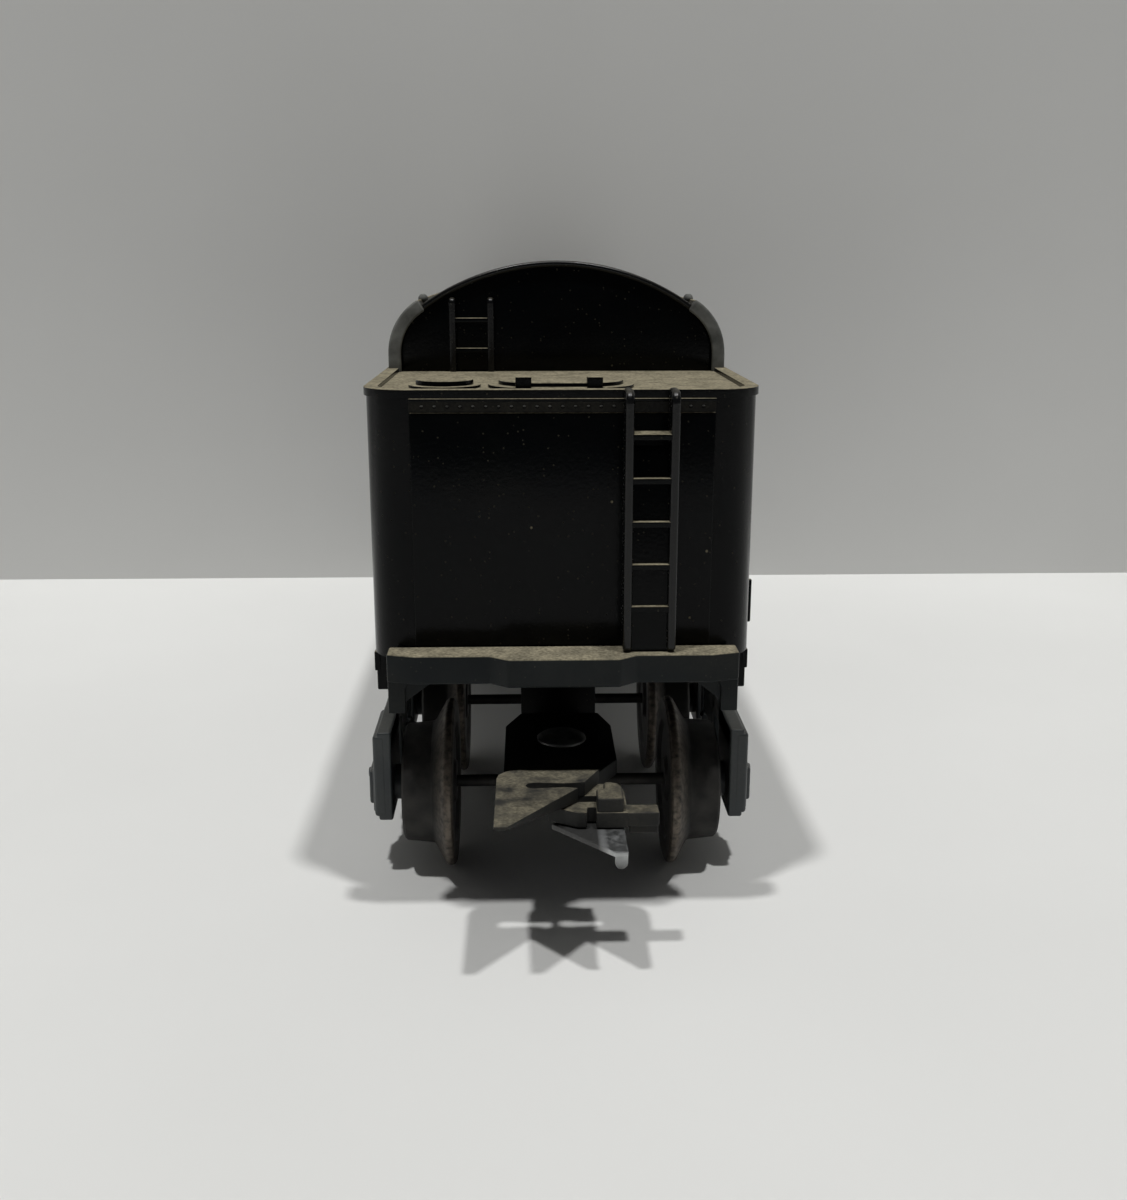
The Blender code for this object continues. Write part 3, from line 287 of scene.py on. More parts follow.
def rivets(places, outward):
    """Round heads at the given places, with their faces turned outwards."""
    heads = bmesh.new()
    turn = Vector((0, 0, 1)).rotation_difference(Vector(outward)).to_matrix().to_4x4()
    flat = Matrix.Diagonal((1, 1, 0.75, 1))
    for place in places:
        bmesh.ops.create_uvsphere(heads, u_segments=8, v_segments=5, radius=RIVET_HEAD,
                                  matrix=Matrix.Translation(place) @ turn @ flat)
    return heads


rear_row = [-16.5 + RIVET_PITCH * step for step in range(23)]
rear_row = [x for x in rear_row if not BEHIND_LADDER[0] < x < BEHIND_LADDER[1]]
seams.append(rivets([(x, TANK_REAR - 0.05, RIVET_ROW) for x in rear_row], (0, -1, 0)))
side_row = [TANK_REAR + 8.0 + RIVET_PITCH * step for step in range(98)]
seam_column = [SEAM_FOOT + 1.0 + RIVET_PITCH * step for step in range(17)]
for side in (-1, 1):
    outward = (side, 0, 0)
    face = side * (TANK_HALF + 0.08)
    for height in (FOOT_ROW, RIVET_ROW):
        seams.append(rivets([(face, y, height) for y in side_row], outward))
    for seam_y in SIDE_SEAMS:
        for y in (seam_y - 0.9, seam_y + 0.9):
            seams.append(rivets([(face, y, height) for height in seam_column], outward))
        seams.append(block((side * (TANK_HALF - 0.2), side * (TANK_HALF + 0.1)),
                           (seam_y - 1.7, seam_y + 1.7), (SEAM_FOOT, SEAM_TOP), 0.05))
seam_piece = make_piece("tank_seams", seams, black_plastic, "tank_plastic", "tender_body", flat=False)


def mark_dust_and_sheen(piece, amount):
    """Marks each point of a piece with how strongly it takes the grey of dust and painted sheen."""
    marks = piece.data.attributes.new("dust_and_sheen", "FLOAT", "POINT")
    for vert, mark in zip(piece.data.vertices, marks.data):
        mark.value = amount(*(vert.co / MM))


def strip_dust_and_rivet_highlight(x, y, z):
    """Painted highlight on the upper halves of the rivet heads, and a little dust on the strip under the
    coping.
    """
    if y > TANK_REAR:
        return 0.0
    # Painted highlight: the upper half of each rear rivet head is marked pale, standing in for its lit top.
    if RIVET_ROW < z < RIVET_ROW + 0.55:
        return 1.0
    return 0.05 if y > TANK_REAR - 0.05 else 0.0


mark_dust_and_sheen(seam_piece, strip_dust_and_rivet_highlight)

# Bunker: two sides that rise from the deck and curl inwards, closed behind by an arched bulkhead.
# The bulkhead has a thin bead round its edge, and the gate at the front is a plate with a lower arch.
# All of it is one moulding with the tank, and so are the two small knobs on the curled sides.
BUNKER_REAR = -47.4
BUNKER_FRONT = 79.8
BUNKER_WALL = 1.8
BUNKER_FOOT = DECK - 0.2
CURL_RADIUS = 8.6
CURL_X = TANK_HALF - CURL_RADIUS
CURL_Z = DECK + 2.4
GATE_Y = 66.1
KNOB_X = 18.9
KNOB_Y = -41.4
KNOB_Z = 75.3
KNOB_RADIUS = 0.7


def points_of(geometry):
    """The vertices among what an operator made."""
    return [item for item in geometry if isinstance(item, bmesh.types.BMVert)]


def bunker_side(side):
    """An upright line from the deck, spun over into the curl, drawn out along the tank and thickened."""
    shape = bmesh.new()
    foot = shape.verts.new((side * TANK_HALF, BUNKER_REAR, BUNKER_FOOT))
    knee = shape.verts.new((side * TANK_HALF, BUNKER_REAR, CURL_Z))
    shape.edges.new((foot, knee))
    bmesh.ops.spin(shape, geom=[knee], cent=(side * CURL_X, BUNKER_REAR, CURL_Z),
                   axis=(0, 1, 0), angle=-side * math.radians(60), steps=14)
    drawn = bmesh.ops.extrude_edge_only(shape, edges=shape.edges[:])["geom"]
    bmesh.ops.translate(shape, vec=(0, BUNKER_FRONT - BUNKER_REAR, 0), verts=points_of(drawn))
    bmesh.ops.recalc_face_normals(shape, faces=shape.faces)
    upright = max(shape.faces, key=lambda face: abs(face.normal.x))
    inward = 1 if upright.normal.x * side > 0 else -1
    bmesh.ops.solidify(shape, geom=shape.faces, thickness=inward * BUNKER_WALL)
    bmesh.ops.recalc_face_normals(shape, faces=shape.faces)
    round_edges(shape, 0.3, 3)
    return shape


def arch_arcs(crown, inset, y):
    """Centre, angle and steps of the three arcs that close over the bunker: curl, flat arch, curl."""
    radius = CURL_RADIUS - inset
    turn = math.radians(57)
    chord = CURL_X + radius * math.cos(turn)
    rise = DECK + crown - CURL_Z - radius * math.sin(turn)
    arch_radius = (chord * chord + rise * rise) / (2 * rise)
    return [((CURL_X, y, CURL_Z), turn, 12),
            ((0, y, DECK + crown - arch_radius), 2 * math.asin(chord / arch_radius), 36),
            ((-CURL_X, y, CURL_Z), turn, 12)]


def arched_face(crown, inset, y):
    """A face that follows both bunker sides and closes over them with one flat arch."""
    shape = bmesh.new()
    foot = shape.verts.new((TANK_HALF - inset, y, BUNKER_FOOT))
    tip = shape.verts.new((TANK_HALF - inset, y, CURL_Z))
    shape.edges.new((foot, tip))
    for centre, angle, steps in arch_arcs(crown, inset, y):
        spun = bmesh.ops.spin(shape, geom=[tip], cent=centre, axis=(0, 1, 0), angle=-angle, steps=steps)
        tip = points_of(spun["geom_last"])[0]
    last = shape.verts.new((-TANK_HALF + inset, y, BUNKER_FOOT))
    shape.edges.new((tip, last))
    shape.edges.new((last, foot))
    bmesh.ops.contextual_create(shape, geom=shape.edges[:])
    return shape


def arched_bead(crown, inset, y, radius):
    """A round bead that follows the same line, from a small ring carried along it."""
    shape = bmesh.new()
    ring = bmesh.ops.create_circle(shape, segments=12, radius=radius,
                                   matrix=Matrix.Translation((TANK_HALF - inset, y, BUNKER_FOOT)))["verts"]
    run = [((0, 0, 0), 0.0, 1, CURL_Z - BUNKER_FOOT)]
    run += [(*arc, 0.0) for arc in arch_arcs(crown, inset, y)]
    run += [((0, 0, 0), 0.0, 1, BUNKER_FOOT - CURL_Z)]
    loop = ring + shape.edges[:]
    for centre, angle, steps, lift in run:
        loop = bmesh.ops.spin(shape, geom=loop, cent=centre, axis=(0, 1, 0), angle=-angle, steps=steps,
                              dvec=(0, 0, lift))["geom_last"]
    bmesh.ops.holes_fill(shape, edges=[edge for edge in shape.edges if edge.is_boundary])
    bmesh.ops.recalc_face_normals(shape, faces=shape.faces)
    return shape


def thicken(shape, thickness, radius):
    """Draws faces that stand across the tender out along it and rounds their edges."""
    back = bmesh.ops.extrude_face_region(shape, geom=shape.faces[:])["geom"]
    bmesh.ops.translate(shape, vec=(0, thickness, 0), verts=points_of(back))
    bmesh.ops.recalc_face_normals(shape, faces=shape.faces)
    round_edges(shape, radius, 3)
    return shape


bulkhead = thicken(arched_face(15.0, BUNKER_WALL / 2, BUNKER_REAR + 0.9), TANK_WALL, 0.15)
bead = arched_bead(14.6, BUNKER_WALL / 2 + 0.4, BUNKER_REAR + 0.95, 0.45)
gate = thicken(arched_face(10.5, BUNKER_WALL / 2, GATE_Y), TANK_WALL, 0.2)
knobs = bmesh.new()
for side in (-1, 1):
    bmesh.ops.create_uvsphere(knobs, u_segments=16, v_segments=10, radius=KNOB_RADIUS,
                              matrix=Matrix.Translation((side * KNOB_X, KNOB_Y, KNOB_Z)))
bunker = make_piece("coal_bunker", [bunker_side(-1), bunker_side(1), gate, knobs], black_plastic,
                    "tank_plastic", "tender_body")


def edge_dust_and_sheen(x, y, z):
    """Dust and painted sheen on the rear ends of the bunker sides, and dust on the two knobs."""
    # Dust and painted sheen: the rear ends of the curled sides are marked grey, partly for the sheen they
    # catch.
    if y < BUNKER_REAR + 0.2:
        return 0.62
    return 0.6 if abs(y - KNOB_Y) < KNOB_RADIUS + 0.1 and z > KNOB_Z - KNOB_RADIUS else 0.0


mark_dust_and_sheen(bunker, edge_dust_and_sheen)
glossy_plastic = dusty_plastic("wiped_glossy_plastic", (0.0012, 0.0016, 0.002), (0.0025, 0.003, 0.0034),
                               gloss=0.24, shine=0.3, cover=0.12, veil=0.01)
make_piece("bulkhead_bead", [bead], glossy_plastic, "tank_plastic", "tender_body")
make_piece("bunker_bulkhead", [bulkhead], black_plastic, "tank_plastic", "tender_body", flat=False)

# Ladders: a tall one against the rear wall with deep rails, and a short one on the bulkhead.
# Both belong to the tank moulding; the rails hook over at the top and the rungs are flat bars.
# A panel behind the tall ladder's rungs slopes back to the wall at its top.
LADDER_X = 10.3
SHORT_LADDER_X = -11.85
LADDER_GAUGE = 5.3
LADDER_DEPTH = 3.6
RUNG_PITCH = 5.13
RUNG_HALF = 0.35
BEAM_TOP = 34.9


def rail(x, half, y, z, hook):
    """An upright with a rounded hook at its top and softened edges."""
    shape = block((x - half, x + half), y, z, 0)
    crest = [edge for edge in shape.edges
             if all(vert.co.z > z[1] - 0.01 and vert.co.y < y[0] + 0.01 for vert in edge.verts)]
    round_edges(shape, hook, 6, crest)
    round_edges(shape, half * 0.8, 4)
    return shape


rails = []
for side in (-1, 1):
    rails.append(rail(LADDER_X + side * LADDER_GAUGE / 2, 0.55,
                      (TANK_REAR - LADDER_DEPTH, TANK_REAR + 0.4), (BEAM_TOP + 0.2, DECK + 0.7), 1.6))
    rails.append(rail(SHORT_LADDER_X + side * LADDER_GAUGE / 2, 0.5,
                      (BUNKER_REAR - 0.2, BUNKER_REAR + 1.3), (DECK - 0.2, DECK + 10.1), 0.8))
ladder_span = (LADDER_X - LADDER_GAUGE / 2, LADDER_X + LADDER_GAUGE / 2)
short_span = (SHORT_LADDER_X - LADDER_GAUGE / 2, SHORT_LADDER_X + LADDER_GAUGE / 2)
rungs = []
for rung in range(5):
    height = BEAM_TOP + 5.4 + RUNG_PITCH * rung
    rungs.append(block(ladder_span, (TANK_REAR - LADDER_DEPTH + 0.1, TANK_REAR + 0.4),
                       (height - RUNG_HALF, height + RUNG_HALF), 0.12))
for height in (DECK + 2.9, DECK + 7.0):
    rungs.append(block(short_span, (BUNKER_REAR - 0.05, BUNKER_REAR + 1.3),
                       (height - RUNG_HALF, height + RUNG_HALF), 0.15))


def plate(outline, axis, low, high, radius=0.15, segments=2):
    """A flat outline drawn out along an axis, with its edges rounded."""
    shape = bmesh.new()
    lift = {"X": lambda a, b: (low, a, b), "Y": lambda a, b: (a, low, b), "Z": lambda a, b: (a, b, low)}[axis]
    face = shape.faces.new([shape.verts.new(lift(a, b)) for a, b in outline])
    drawn = bmesh.ops.extrude_face_region(shape, geom=[face])["geom"]
    step = Vector([high - low if name == axis else 0 for name in "XYZ"])
    bmesh.ops.translate(shape, vec=step, verts=points_of(drawn))
    bmesh.ops.recalc_face_normals(shape, faces=shape.faces)
    if radius:
        round_edges(shape, radius, segments)
    return shape


rungs.append(plate([(TANK_REAR + 0.4, BEAM_TOP + 0.2), (TANK_REAR - 3.0, BEAM_TOP + 0.2),
                    (TANK_REAR - 2.3, 55.7), (TANK_REAR + 0.4, 60.8)], "X", *ladder_span, 0.05))
make_piece("ladder_rails", rails, glossy_plastic, "tank_plastic", "tender_body")
make_piece("ladder_rungs", rungs, black_plastic, "tank_plastic", "tender_body")

# Filler cap and water hatch: a round lid and a long one on the deck, each on a low coaming.
# The hatch has two square lugs for its hinge pins; all of it is moulded with the deck.
FITTING_Y = TANK_REAR + 9.0
FITTING_FOOT = DECK - 0.4
FILLER = (-14.3, FITTING_Y, 0)
LUG_HALF = 0.95


def disc(centre, radius, low, high, rim, segments=48, axis="Z"):
    """A turned disc or pin between two heights on an axis, with rounded rims."""
    shape = bmesh.new()
    turn = {"Z": Matrix.Identity(4), "X": Matrix.Rotation(math.pi / 2, 4, "Y")}[axis]
    lift = Vector([(low + high) / 2 if name == axis else 0 for name in "XYZ"])
    bmesh.ops.create_cone(shape, cap_ends=True, segments=segments, radius1=radius, radius2=radius,
                          depth=abs(high - low), matrix=Matrix.Translation(Vector(centre) + lift) @ turn)
    rims = [edge for edge in shape.edges if edge.calc_face_angle(0.0) > math.radians(60)]
    round_edges(shape, rim, 2, rims)
    return shape


def long_lid(half_length, half_depth, top, rim):
    """A lid with round ends, from a block whose upright edges are rounded off."""
    shape = block((-half_length, half_length), (FITTING_Y - half_depth, FITTING_Y + half_depth),
                  (FITTING_FOOT, top), 0)
    uprights = [edge for edge in shape.edges if abs(edge.verts[0].co.z - edge.verts[1].co.z) > 0.01]
    round_edges(shape, half_depth * 0.995, 14, uprights)
    round_edges(shape, rim, 2)
    return shape


hatches = [
    disc(FILLER, 4.45, FITTING_FOOT, DECK + 0.35, 0.12),
    disc(FILLER, 3.55, FITTING_FOOT, DECK + 1.0, 0.3),
    long_lid(9.0, 6.2, DECK + 0.4, 0.12),
    long_lid(7.7, 4.9, DECK + 0.9, 0.2),
]
for x in (-4.6, 3.9):
    hatches.append(block((x - LUG_HALF, x + LUG_HALF), (FITTING_Y - 6.3, FITTING_Y - 4.6),
                         (FITTING_FOOT, DECK + 1.7), 0.15))
make_piece("deck_hatches", hatches, black_plastic, "tank_plastic", "tender_body")

# Coal: a moulded insert of rough lumps heaped between the bulkhead and the gate.
# Each lump is a small broken solid, pressed into the insert's crowned and broken bed.
COAL_REAR = -44.7
COAL_FRONT = 67.3
COAL_HALF = 20.4
COAL_SIDE_GAP = 1.6
COAL_END_GAP = 1.4
COAL_ROWS = 46
COAL_COLUMNS = 16

bed = bmesh.new()
bed.from_mesh(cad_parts["coal_load"].data)
bmesh.ops.scale(bed, vec=(1 / MM, 1 / MM, 1 / MM), verts=bed.verts)
bmesh.ops.remove_doubles(bed, verts=bed.verts, dist=0.001)
crest = [edge for edge in bed.edges if all(face.normal.z > 0.2 for face in edge.link_faces)]
bmesh.ops.subdivide_edges(bed, edges=crest, cuts=2, fractal=0.35, seed=5, use_grid_fill=True)
surface = BVHTree.FromBMesh(bed)

shuffle = random.Random(7)
heap = [bed]
for row in range(COAL_ROWS):
    lumps = bmesh.new()
    heap.append(lumps)
    for column in range(COAL_COLUMNS):
        across = (column + 0.5 + shuffle.uniform(-0.4, 0.4)) / COAL_COLUMNS
        along = (row + 0.5 + shuffle.uniform(-0.4, 0.4)) / COAL_ROWS
        x = across * 2 * (COAL_HALF - COAL_SIDE_GAP) - COAL_HALF + COAL_SIDE_GAP
        y = COAL_REAR + COAL_END_GAP + along * (COAL_FRONT - COAL_REAR - 2 * COAL_END_GAP)
        size = shuffle.uniform(0.7, 1.5)
        turn = Matrix.Rotation(shuffle.uniform(0, 6.28), 4, "Z")
        spin = turn @ Matrix.Rotation(shuffle.uniform(-0.7, 0.7), 4, "X")
        width = size * shuffle.uniform(0.8, 1.25)
        length = size * shuffle.uniform(0.8, 1.25)
        stretch = Matrix.Diagonal((width, length, size * 0.7, 1))
        rest = surface.ray_cast(Vector((x, y, 100.0)), Vector((0, 0, -1)))[0]
        seat = Matrix.Translation((x, y, rest.z - 0.15 * size))
        lump = bmesh.ops.create_icosphere(lumps, subdivisions=1, radius=1.0, matrix=seat @ spin @ stretch)
        for vert in lump["verts"]:
            vert.co += noise.noise_vector(vert.co * 0.9) * 0.3

coal_finish, tree, shader, place = new_finish("broken_coal")
coal_colour = blend_colour(tree, blotches(tree, place, 500.0, 0.35, 0.7), (0.004, 0.004, 0.0045),
                           (0.016, 0.0155, 0.015))
coal_gloss = spread(tree, blotches(tree, place, 900.0, 0.3, 0.7), 0.0, 1.0, 0.3, 0.7)
tree.links.new(coal_colour, shader.inputs["Base Color"])
tree.links.new(coal_gloss, shader.inputs["Roughness"])
shader.inputs["Specular IOR Level"].default_value = 0.3
grain(tree, place, shader, 1500.0, 0.3, 0.0002)
coal = make_piece("coal_heap", heap, coal_finish, "coal_plastic", "tender_body", "coal_load")
coal.data.set_sharp_from_angle(angle=math.radians(12))

# Underframe: one dark moulding with the floor, both end beams, the striker, step legs and centre bosses.
# The tank's skirts hang over its sides, and the trucks turn under its two bosses.
FLOOR = 31.4
FLOOR_TOP = 32.9
BEAM_HALF = 21.25
BEAM_CHAMFER = 17.85
BEAM_REAR = TANK_REAR - 4.4
BEAM_FRONT = TANK_FRONT + 4.4
STRIKER_REAR = TANK_REAR - 6.0
LEG_INNER = BEAM_HALF - 2.1
LEG_OUTER = BEAM_HALF - 0.05
LEG_FOOT = FLOOR - 4.0
BOSS_FOOT = FLOOR - 7.3
BOSS_TOP = FLOOR_TOP + 0.4
KINGPINS = {"rear": -47.4, "front": 50.0}
frame_plastic = dusty_plastic("dusty_frame_plastic", (0.006, 0.0082, 0.0092), (0.01, 0.0128, 0.0138),
                              gloss=0.4, shine=0.14, cover=0.85, veil=0.025)
underframe = [
    block((-21.7, 21.7), (TANK_REAR + 6.0, TANK_FRONT - 6.0), (FLOOR, FLOOR_TOP), 0.15),
    block((-18.2, 18.2), (TANK_REAR - 1.0, TANK_FRONT + 1.0), (FLOOR, FLOOR_TOP), 0.1),
    plate([(-6.65, STRIKER_REAR), (6.65, STRIKER_REAR), (8.75, BEAM_REAR), (BEAM_CHAMFER, BEAM_REAR),
           (BEAM_HALF, BEAM_REAR + 1.0), (BEAM_HALF, TANK_REAR - 0.2), (-BEAM_HALF, TANK_REAR - 0.2),
           (-BEAM_HALF, BEAM_REAR + 1.0), (-BEAM_CHAMFER, BEAM_REAR), (-8.75, BEAM_REAR)],
          "Z", FLOOR, BEAM_TOP, 0.25, 3),
    plate([(BEAM_HALF, TANK_FRONT + 0.2), (BEAM_HALF, BEAM_FRONT - 1.0), (BEAM_CHAMFER, BEAM_FRONT),
           (-BEAM_CHAMFER, BEAM_FRONT), (-BEAM_HALF, BEAM_FRONT - 1.0), (-BEAM_HALF, TANK_FRONT + 0.2)],
          "Z", FLOOR, BEAM_TOP, 0.25, 3),
]
leg = [(LEG_OUTER, FLOOR + 0.6), (LEG_OUTER, LEG_FOOT), (LEG_INNER, LEG_FOOT), (LEG_INNER, FLOOR - 1.0),
       (LEG_INNER - 0.3, FLOOR - 0.3), (LEG_INNER - 1.0, FLOOR + 0.6)]
gusset = [(LEG_INNER + 0.3, FLOOR + 0.5), (LEG_INNER + 0.3, FLOOR - 2.94), (LEG_INNER - 4.2, FLOOR + 0.5)]
for side in (-1, 1):
    for near, far in ((BEAM_REAR + 1.1, TANK_REAR - 1.2), (TANK_FRONT + 1.2, BEAM_FRONT - 1.1)):
        underframe.append(plate([(side * x, z) for x, z in leg], "Y", near, far, 0.15))
        underframe.append(plate([(side * x, z) for x, z in gusset], "Y", near + 0.5, far - 0.3, 0.1))
    underframe.append(block((side * 8.4, side * 9.6), (TANK_REAR + 19.3, TANK_FRONT - 21.3),
                            (FLOOR - 1.4, FLOOR + 0.5), 0.2))


def turned(profile, centre, axis, segments=48):
    """A radius and distance profile turned right round an axis."""
    shape = bmesh.new()
    across = Vector((0, 0, 1)) if axis == "X" else Vector((1, 0, 0))
    along = Vector((1, 0, 0)) if axis == "X" else Vector((0, 0, 1))
    line = [shape.verts.new(Vector(centre) + across * radius + along * distance)
            for radius, distance in profile]
    for first, second in zip(line, line[1:]):
        shape.edges.new((first, second))
    bmesh.ops.spin(shape, geom=shape.verts[:] + shape.edges[:], cent=centre, axis=along,
                   angle=2 * math.pi, steps=segments, use_merge=True)
    bmesh.ops.remove_doubles(shape, verts=shape.verts, dist=0.0005)
    bmesh.ops.recalc_face_normals(shape, faces=shape.faces)
    return shape


for y in KINGPINS.values():
    underframe.append(turned([(1.5, BOSS_TOP), (1.5, BOSS_FOOT), (5.8, BOSS_FOOT), (6.0, BOSS_FOOT + 0.2),
                              (6.0, BOSS_TOP), (1.5, BOSS_TOP)], (0, y, 0), "Z"))
make_piece("underframe_moulding", underframe, frame_plastic, "frame_plastic", "tender_body", "underframe")

# Screws, kingpins and rivets: plain turned steel, dulled by handling.
# The screws hold the tank down; the kingpins and rivets are headed over at both ends.
DRAWBAR_PIVOT = 73.3
COUPLER_PIVOT = -71.5
SCREW_X = 19.4
SCREW_INSET = 10.5
steel, tree, shader, place = new_finish("dulled_steel")
shader.inputs["Metallic"].default_value = 1.0
steel_colour = blend_colour(tree, blotches(tree, place, 700.0, 0.35, 0.7), (0.3, 0.3, 0.295),
                            (0.5, 0.5, 0.49))
steel_gloss = spread(tree, blotches(tree, place, 1200.0, 0.3, 0.7), 0.0, 1.0, 0.28, 0.5)
tree.links.new(steel_colour, shader.inputs["Base Color"])
tree.links.new(steel_gloss, shader.inputs["Roughness"])
grain(tree, place, shader, 3000.0, 0.1, 0.0001)


def headed_pin(name, radius, head, low, high, y, body):
    """A pin on the tender's middle line, with a low domed head at each end."""
    dome = [(0, 0.9), (head * 0.55, 0.82), (head * 0.85, 0.6), (head, 0.25), (head, 0)]
    profile = [(reach, high + rise) for reach, rise in dome] + [(radius, high), (radius, low)]
    profile += [(reach, low - rise) for reach, rise in reversed(dome)]
    make_piece(name + "_turned", [turned(profile, (0, y, 0), "Z", 32)], steel, "steel", body, name)


for end, y in KINGPINS.items():
    headed_pin(end + "_kingpin", 1.3, 2.8, 21.2, FLOOR_TOP + 0.6, y, "tender_body")
headed_pin("drawbar_rivet", 1.25, 2.6, 30.0, FLOOR_TOP + 0.2, DRAWBAR_PIVOT, "tender_body")
headed_pin("coupler_rivet", 1.25, 3.2, 14.0, 20.0, COUPLER_PIVOT, "rear_truck")
screw_profile = [(0, 42.0), (1.0, 41.0), (1.0, 31.2), (1.9, 31.2), (1.9, 30.7), (1.3, 30.2), (0, 30.2)]
for end, y in (("rear", TANK_REAR + SCREW_INSET), ("front", TANK_FRONT - SCREW_INSET)):
    for hand, x in (("left", -SCREW_X), ("right", SCREW_X)):
        node = f"body_screw_{end}_{hand}"
        screw = turned(screw_profile, (x, y, 0), "Z", 32)
        make_piece(node + "_turned", [screw], steel, "steel", "tender_body", node)

# Truck side frames: greyer moulded plates with open windows, journal boxes with lids, and coil springs.
# The bolster rests on a seat at the top of each frame, and the springs stand under a cap in its middle.
AXLE = 11.3025
WHEELBASE = 34.0
FRAME_INNER = 22.5
FRAME_OUTER = 24.4
FRAME_TOP = AXLE + 9.1
SPRING_SEAT = AXLE - 5.2
COIL_RADIUS = 1.4
COIL_WIRE = 0.32
COIL_TURNS = 4.5
COIL_STEPS = 90
truck_plastic = dusty_plastic("greyer_truck_plastic", (0.024, 0.0295, 0.0325), (0.043, 0.05, 0.0535),
                              gloss=0.34, shine=0.32, cover=0.12, veil=0.05)


def coil(x, y, low, high):
    """A coil spring: a small ring of wire spun round and up."""
    shape = bmesh.new()
    start = Matrix.Translation((x + COIL_RADIUS, y, low + 0.3)) @ Matrix.Rotation(math.pi / 2, 4, "X")
    wire = bmesh.ops.create_circle(shape, segments=8, radius=COIL_WIRE, matrix=start)["verts"]
    bmesh.ops.spin(shape, geom=wire + shape.edges[:], cent=(x, y, 0), axis=(0, 0, 1),
                   angle=COIL_TURNS * 2 * math.pi, steps=COIL_STEPS,
                   dvec=(0, 0, (high - low - 0.6) / COIL_STEPS))
    bmesh.ops.recalc_face_normals(shape, faces=shape.faces)
    return shape


def side_frame(truck, y, side):
    """One side of a truck, from chords, pedestals, posts, boxes and springs."""
    top, seat = FRAME_TOP, SPRING_SEAT

    def across(low, high):
        return side * low, side * high

    thick = across(FRAME_INNER, FRAME_OUTER)
    shapes = [
        block(thick, (y - 21.9, y + 21.9), (top - 3.2, top), 0.4, 3),
        block(thick, (y - 9.0, y + 9.0), (seat, seat + 2.0), 0.35, 3),
        block(across(22.6, 24.9), (y - 4.4, y + 4.4), (AXLE + 2.4, top - 2.0), 0.3, 3),
        block(across(22.6, 24.3), (y - 4.8, y + 4.8), (top - 1.0, top + 0.8), 0.15),
        block(across(22.2, 25.0), (y - 5.6, y + 5.6), (seat + 1.2, seat + 1.75), 0.15),
    ]
    for hand in (-1, 1):
        axle_y = y + hand * WHEELBASE / 2
        shapes += [
            block(thick, (axle_y - 5.45, axle_y + 5.45), (AXLE - 3.4, top - 0.02), 0.3, 3),
            block(across(23.2, 24.95), (axle_y - 5.5, axle_y + 5.5), (AXLE - 2.9, top - 0.5), 0.5, 4),
            block(thick, (y + hand * 5.0, y + hand * 7.0), (seat + 0.4, top - 0.4), 0.3, 3),
            plate([(y + hand * 6.2, seat), (y + hand * 12.2, AXLE - 3.4), (y + hand * 12.2, AXLE - 1.4),
                   (y + hand * 6.2, seat + 2.3)], "X", *thick, 0.3),
            disc((0, axle_y, AXLE), 2.4, *across(21.5, 22.9), 0.2, 32, "X"),
            block(across(FRAME_OUTER - 0.4, FRAME_OUTER + 0.9), (axle_y - 3.6, axle_y + 3.6),
                  (AXLE - 3.0, AXLE + 3.3), 0.3, 3),
            block(across(FRAME_OUTER + 0.5, FRAME_OUTER + 1.5), (axle_y - 2.6, axle_y + 2.6),
                  (AXLE - 2.2, AXLE + 2.5), 0.35, 3),
            disc((0, axle_y, AXLE + 1.4), 0.7, *across(FRAME_OUTER + 1.2, FRAME_OUTER + 1.8), 0.15, 16, "X"),
        ]
        for bolt_y in (axle_y - 3.6, axle_y + 3.6):
            shapes.append(disc((0, bolt_y, top - 1.6), 0.6, *across(FRAME_OUTER - 0.1, FRAME_OUTER + 0.4),
                               0.12, 6, "X"))
        shapes.append(coil(side * (FRAME_INNER + FRAME_OUTER) / 2, y + hand * 2.3, seat + 1.5, AXLE + 2.7))
    node = truck + ("_side_frame_left" if side < 0 else "_side_frame_right")
    make_piece(node + "_moulding", shapes, truck_plastic, "frame_plastic", truck, node)


for end, y in KINGPINS.items():
    side_frame(end + "_truck", y, -1)
    side_frame(end + "_truck", y, 1)

# Bolsters: the flat cross-beam on each truck's sides, with a round centre plate that the body sits on.
# The rear one has a web that drops to a tongue, to which the coupler is riveted.
BOLSTER = (21.4, 23.5)
CENTRE_PLATE_TOP = 23.9
# Painted shade: a copy of the black plastic with its dust left off, so that the bolsters and the coupler
# shank, in the body's shadow, stay dark.
undusted_shade_plastic = dusty_plastic("undusted_black_plastic_for_shade", (0.0015, 0.0018, 0.002), (0.003, 0.0034, 0.0036),
                              gloss=0.45, shine=0.15, cover=0.02, veil=0.003)
for end, y in KINGPINS.items():
    truck = end + "_truck"
    bolster = [
        block((-24.9, 24.9), (y - 4.8, y + 4.8), BOLSTER, 0.2, 3),
        turned([(1.5, 22.0), (1.5, CENTRE_PLATE_TOP), (4.4, CENTRE_PLATE_TOP),
                (4.6, CENTRE_PLATE_TOP - 0.2), (4.6, 22.0)], (0, y, 0), "Z"),
    ]
    if end == "rear":
        bolster.append(block((-5.4, 5.4), (y - 4.7, y - 3.2), (14.3, 22.2), 0.15))
        bolster.append(block((-3.5, 3.5), (-75.0, y - 3.7), (14.2, 16.4), 0.2))
    node = truck + "_bolster"
    make_piece(node + "_moulding", bolster, undusted_shade_plastic, "frame_plastic", truck, node)

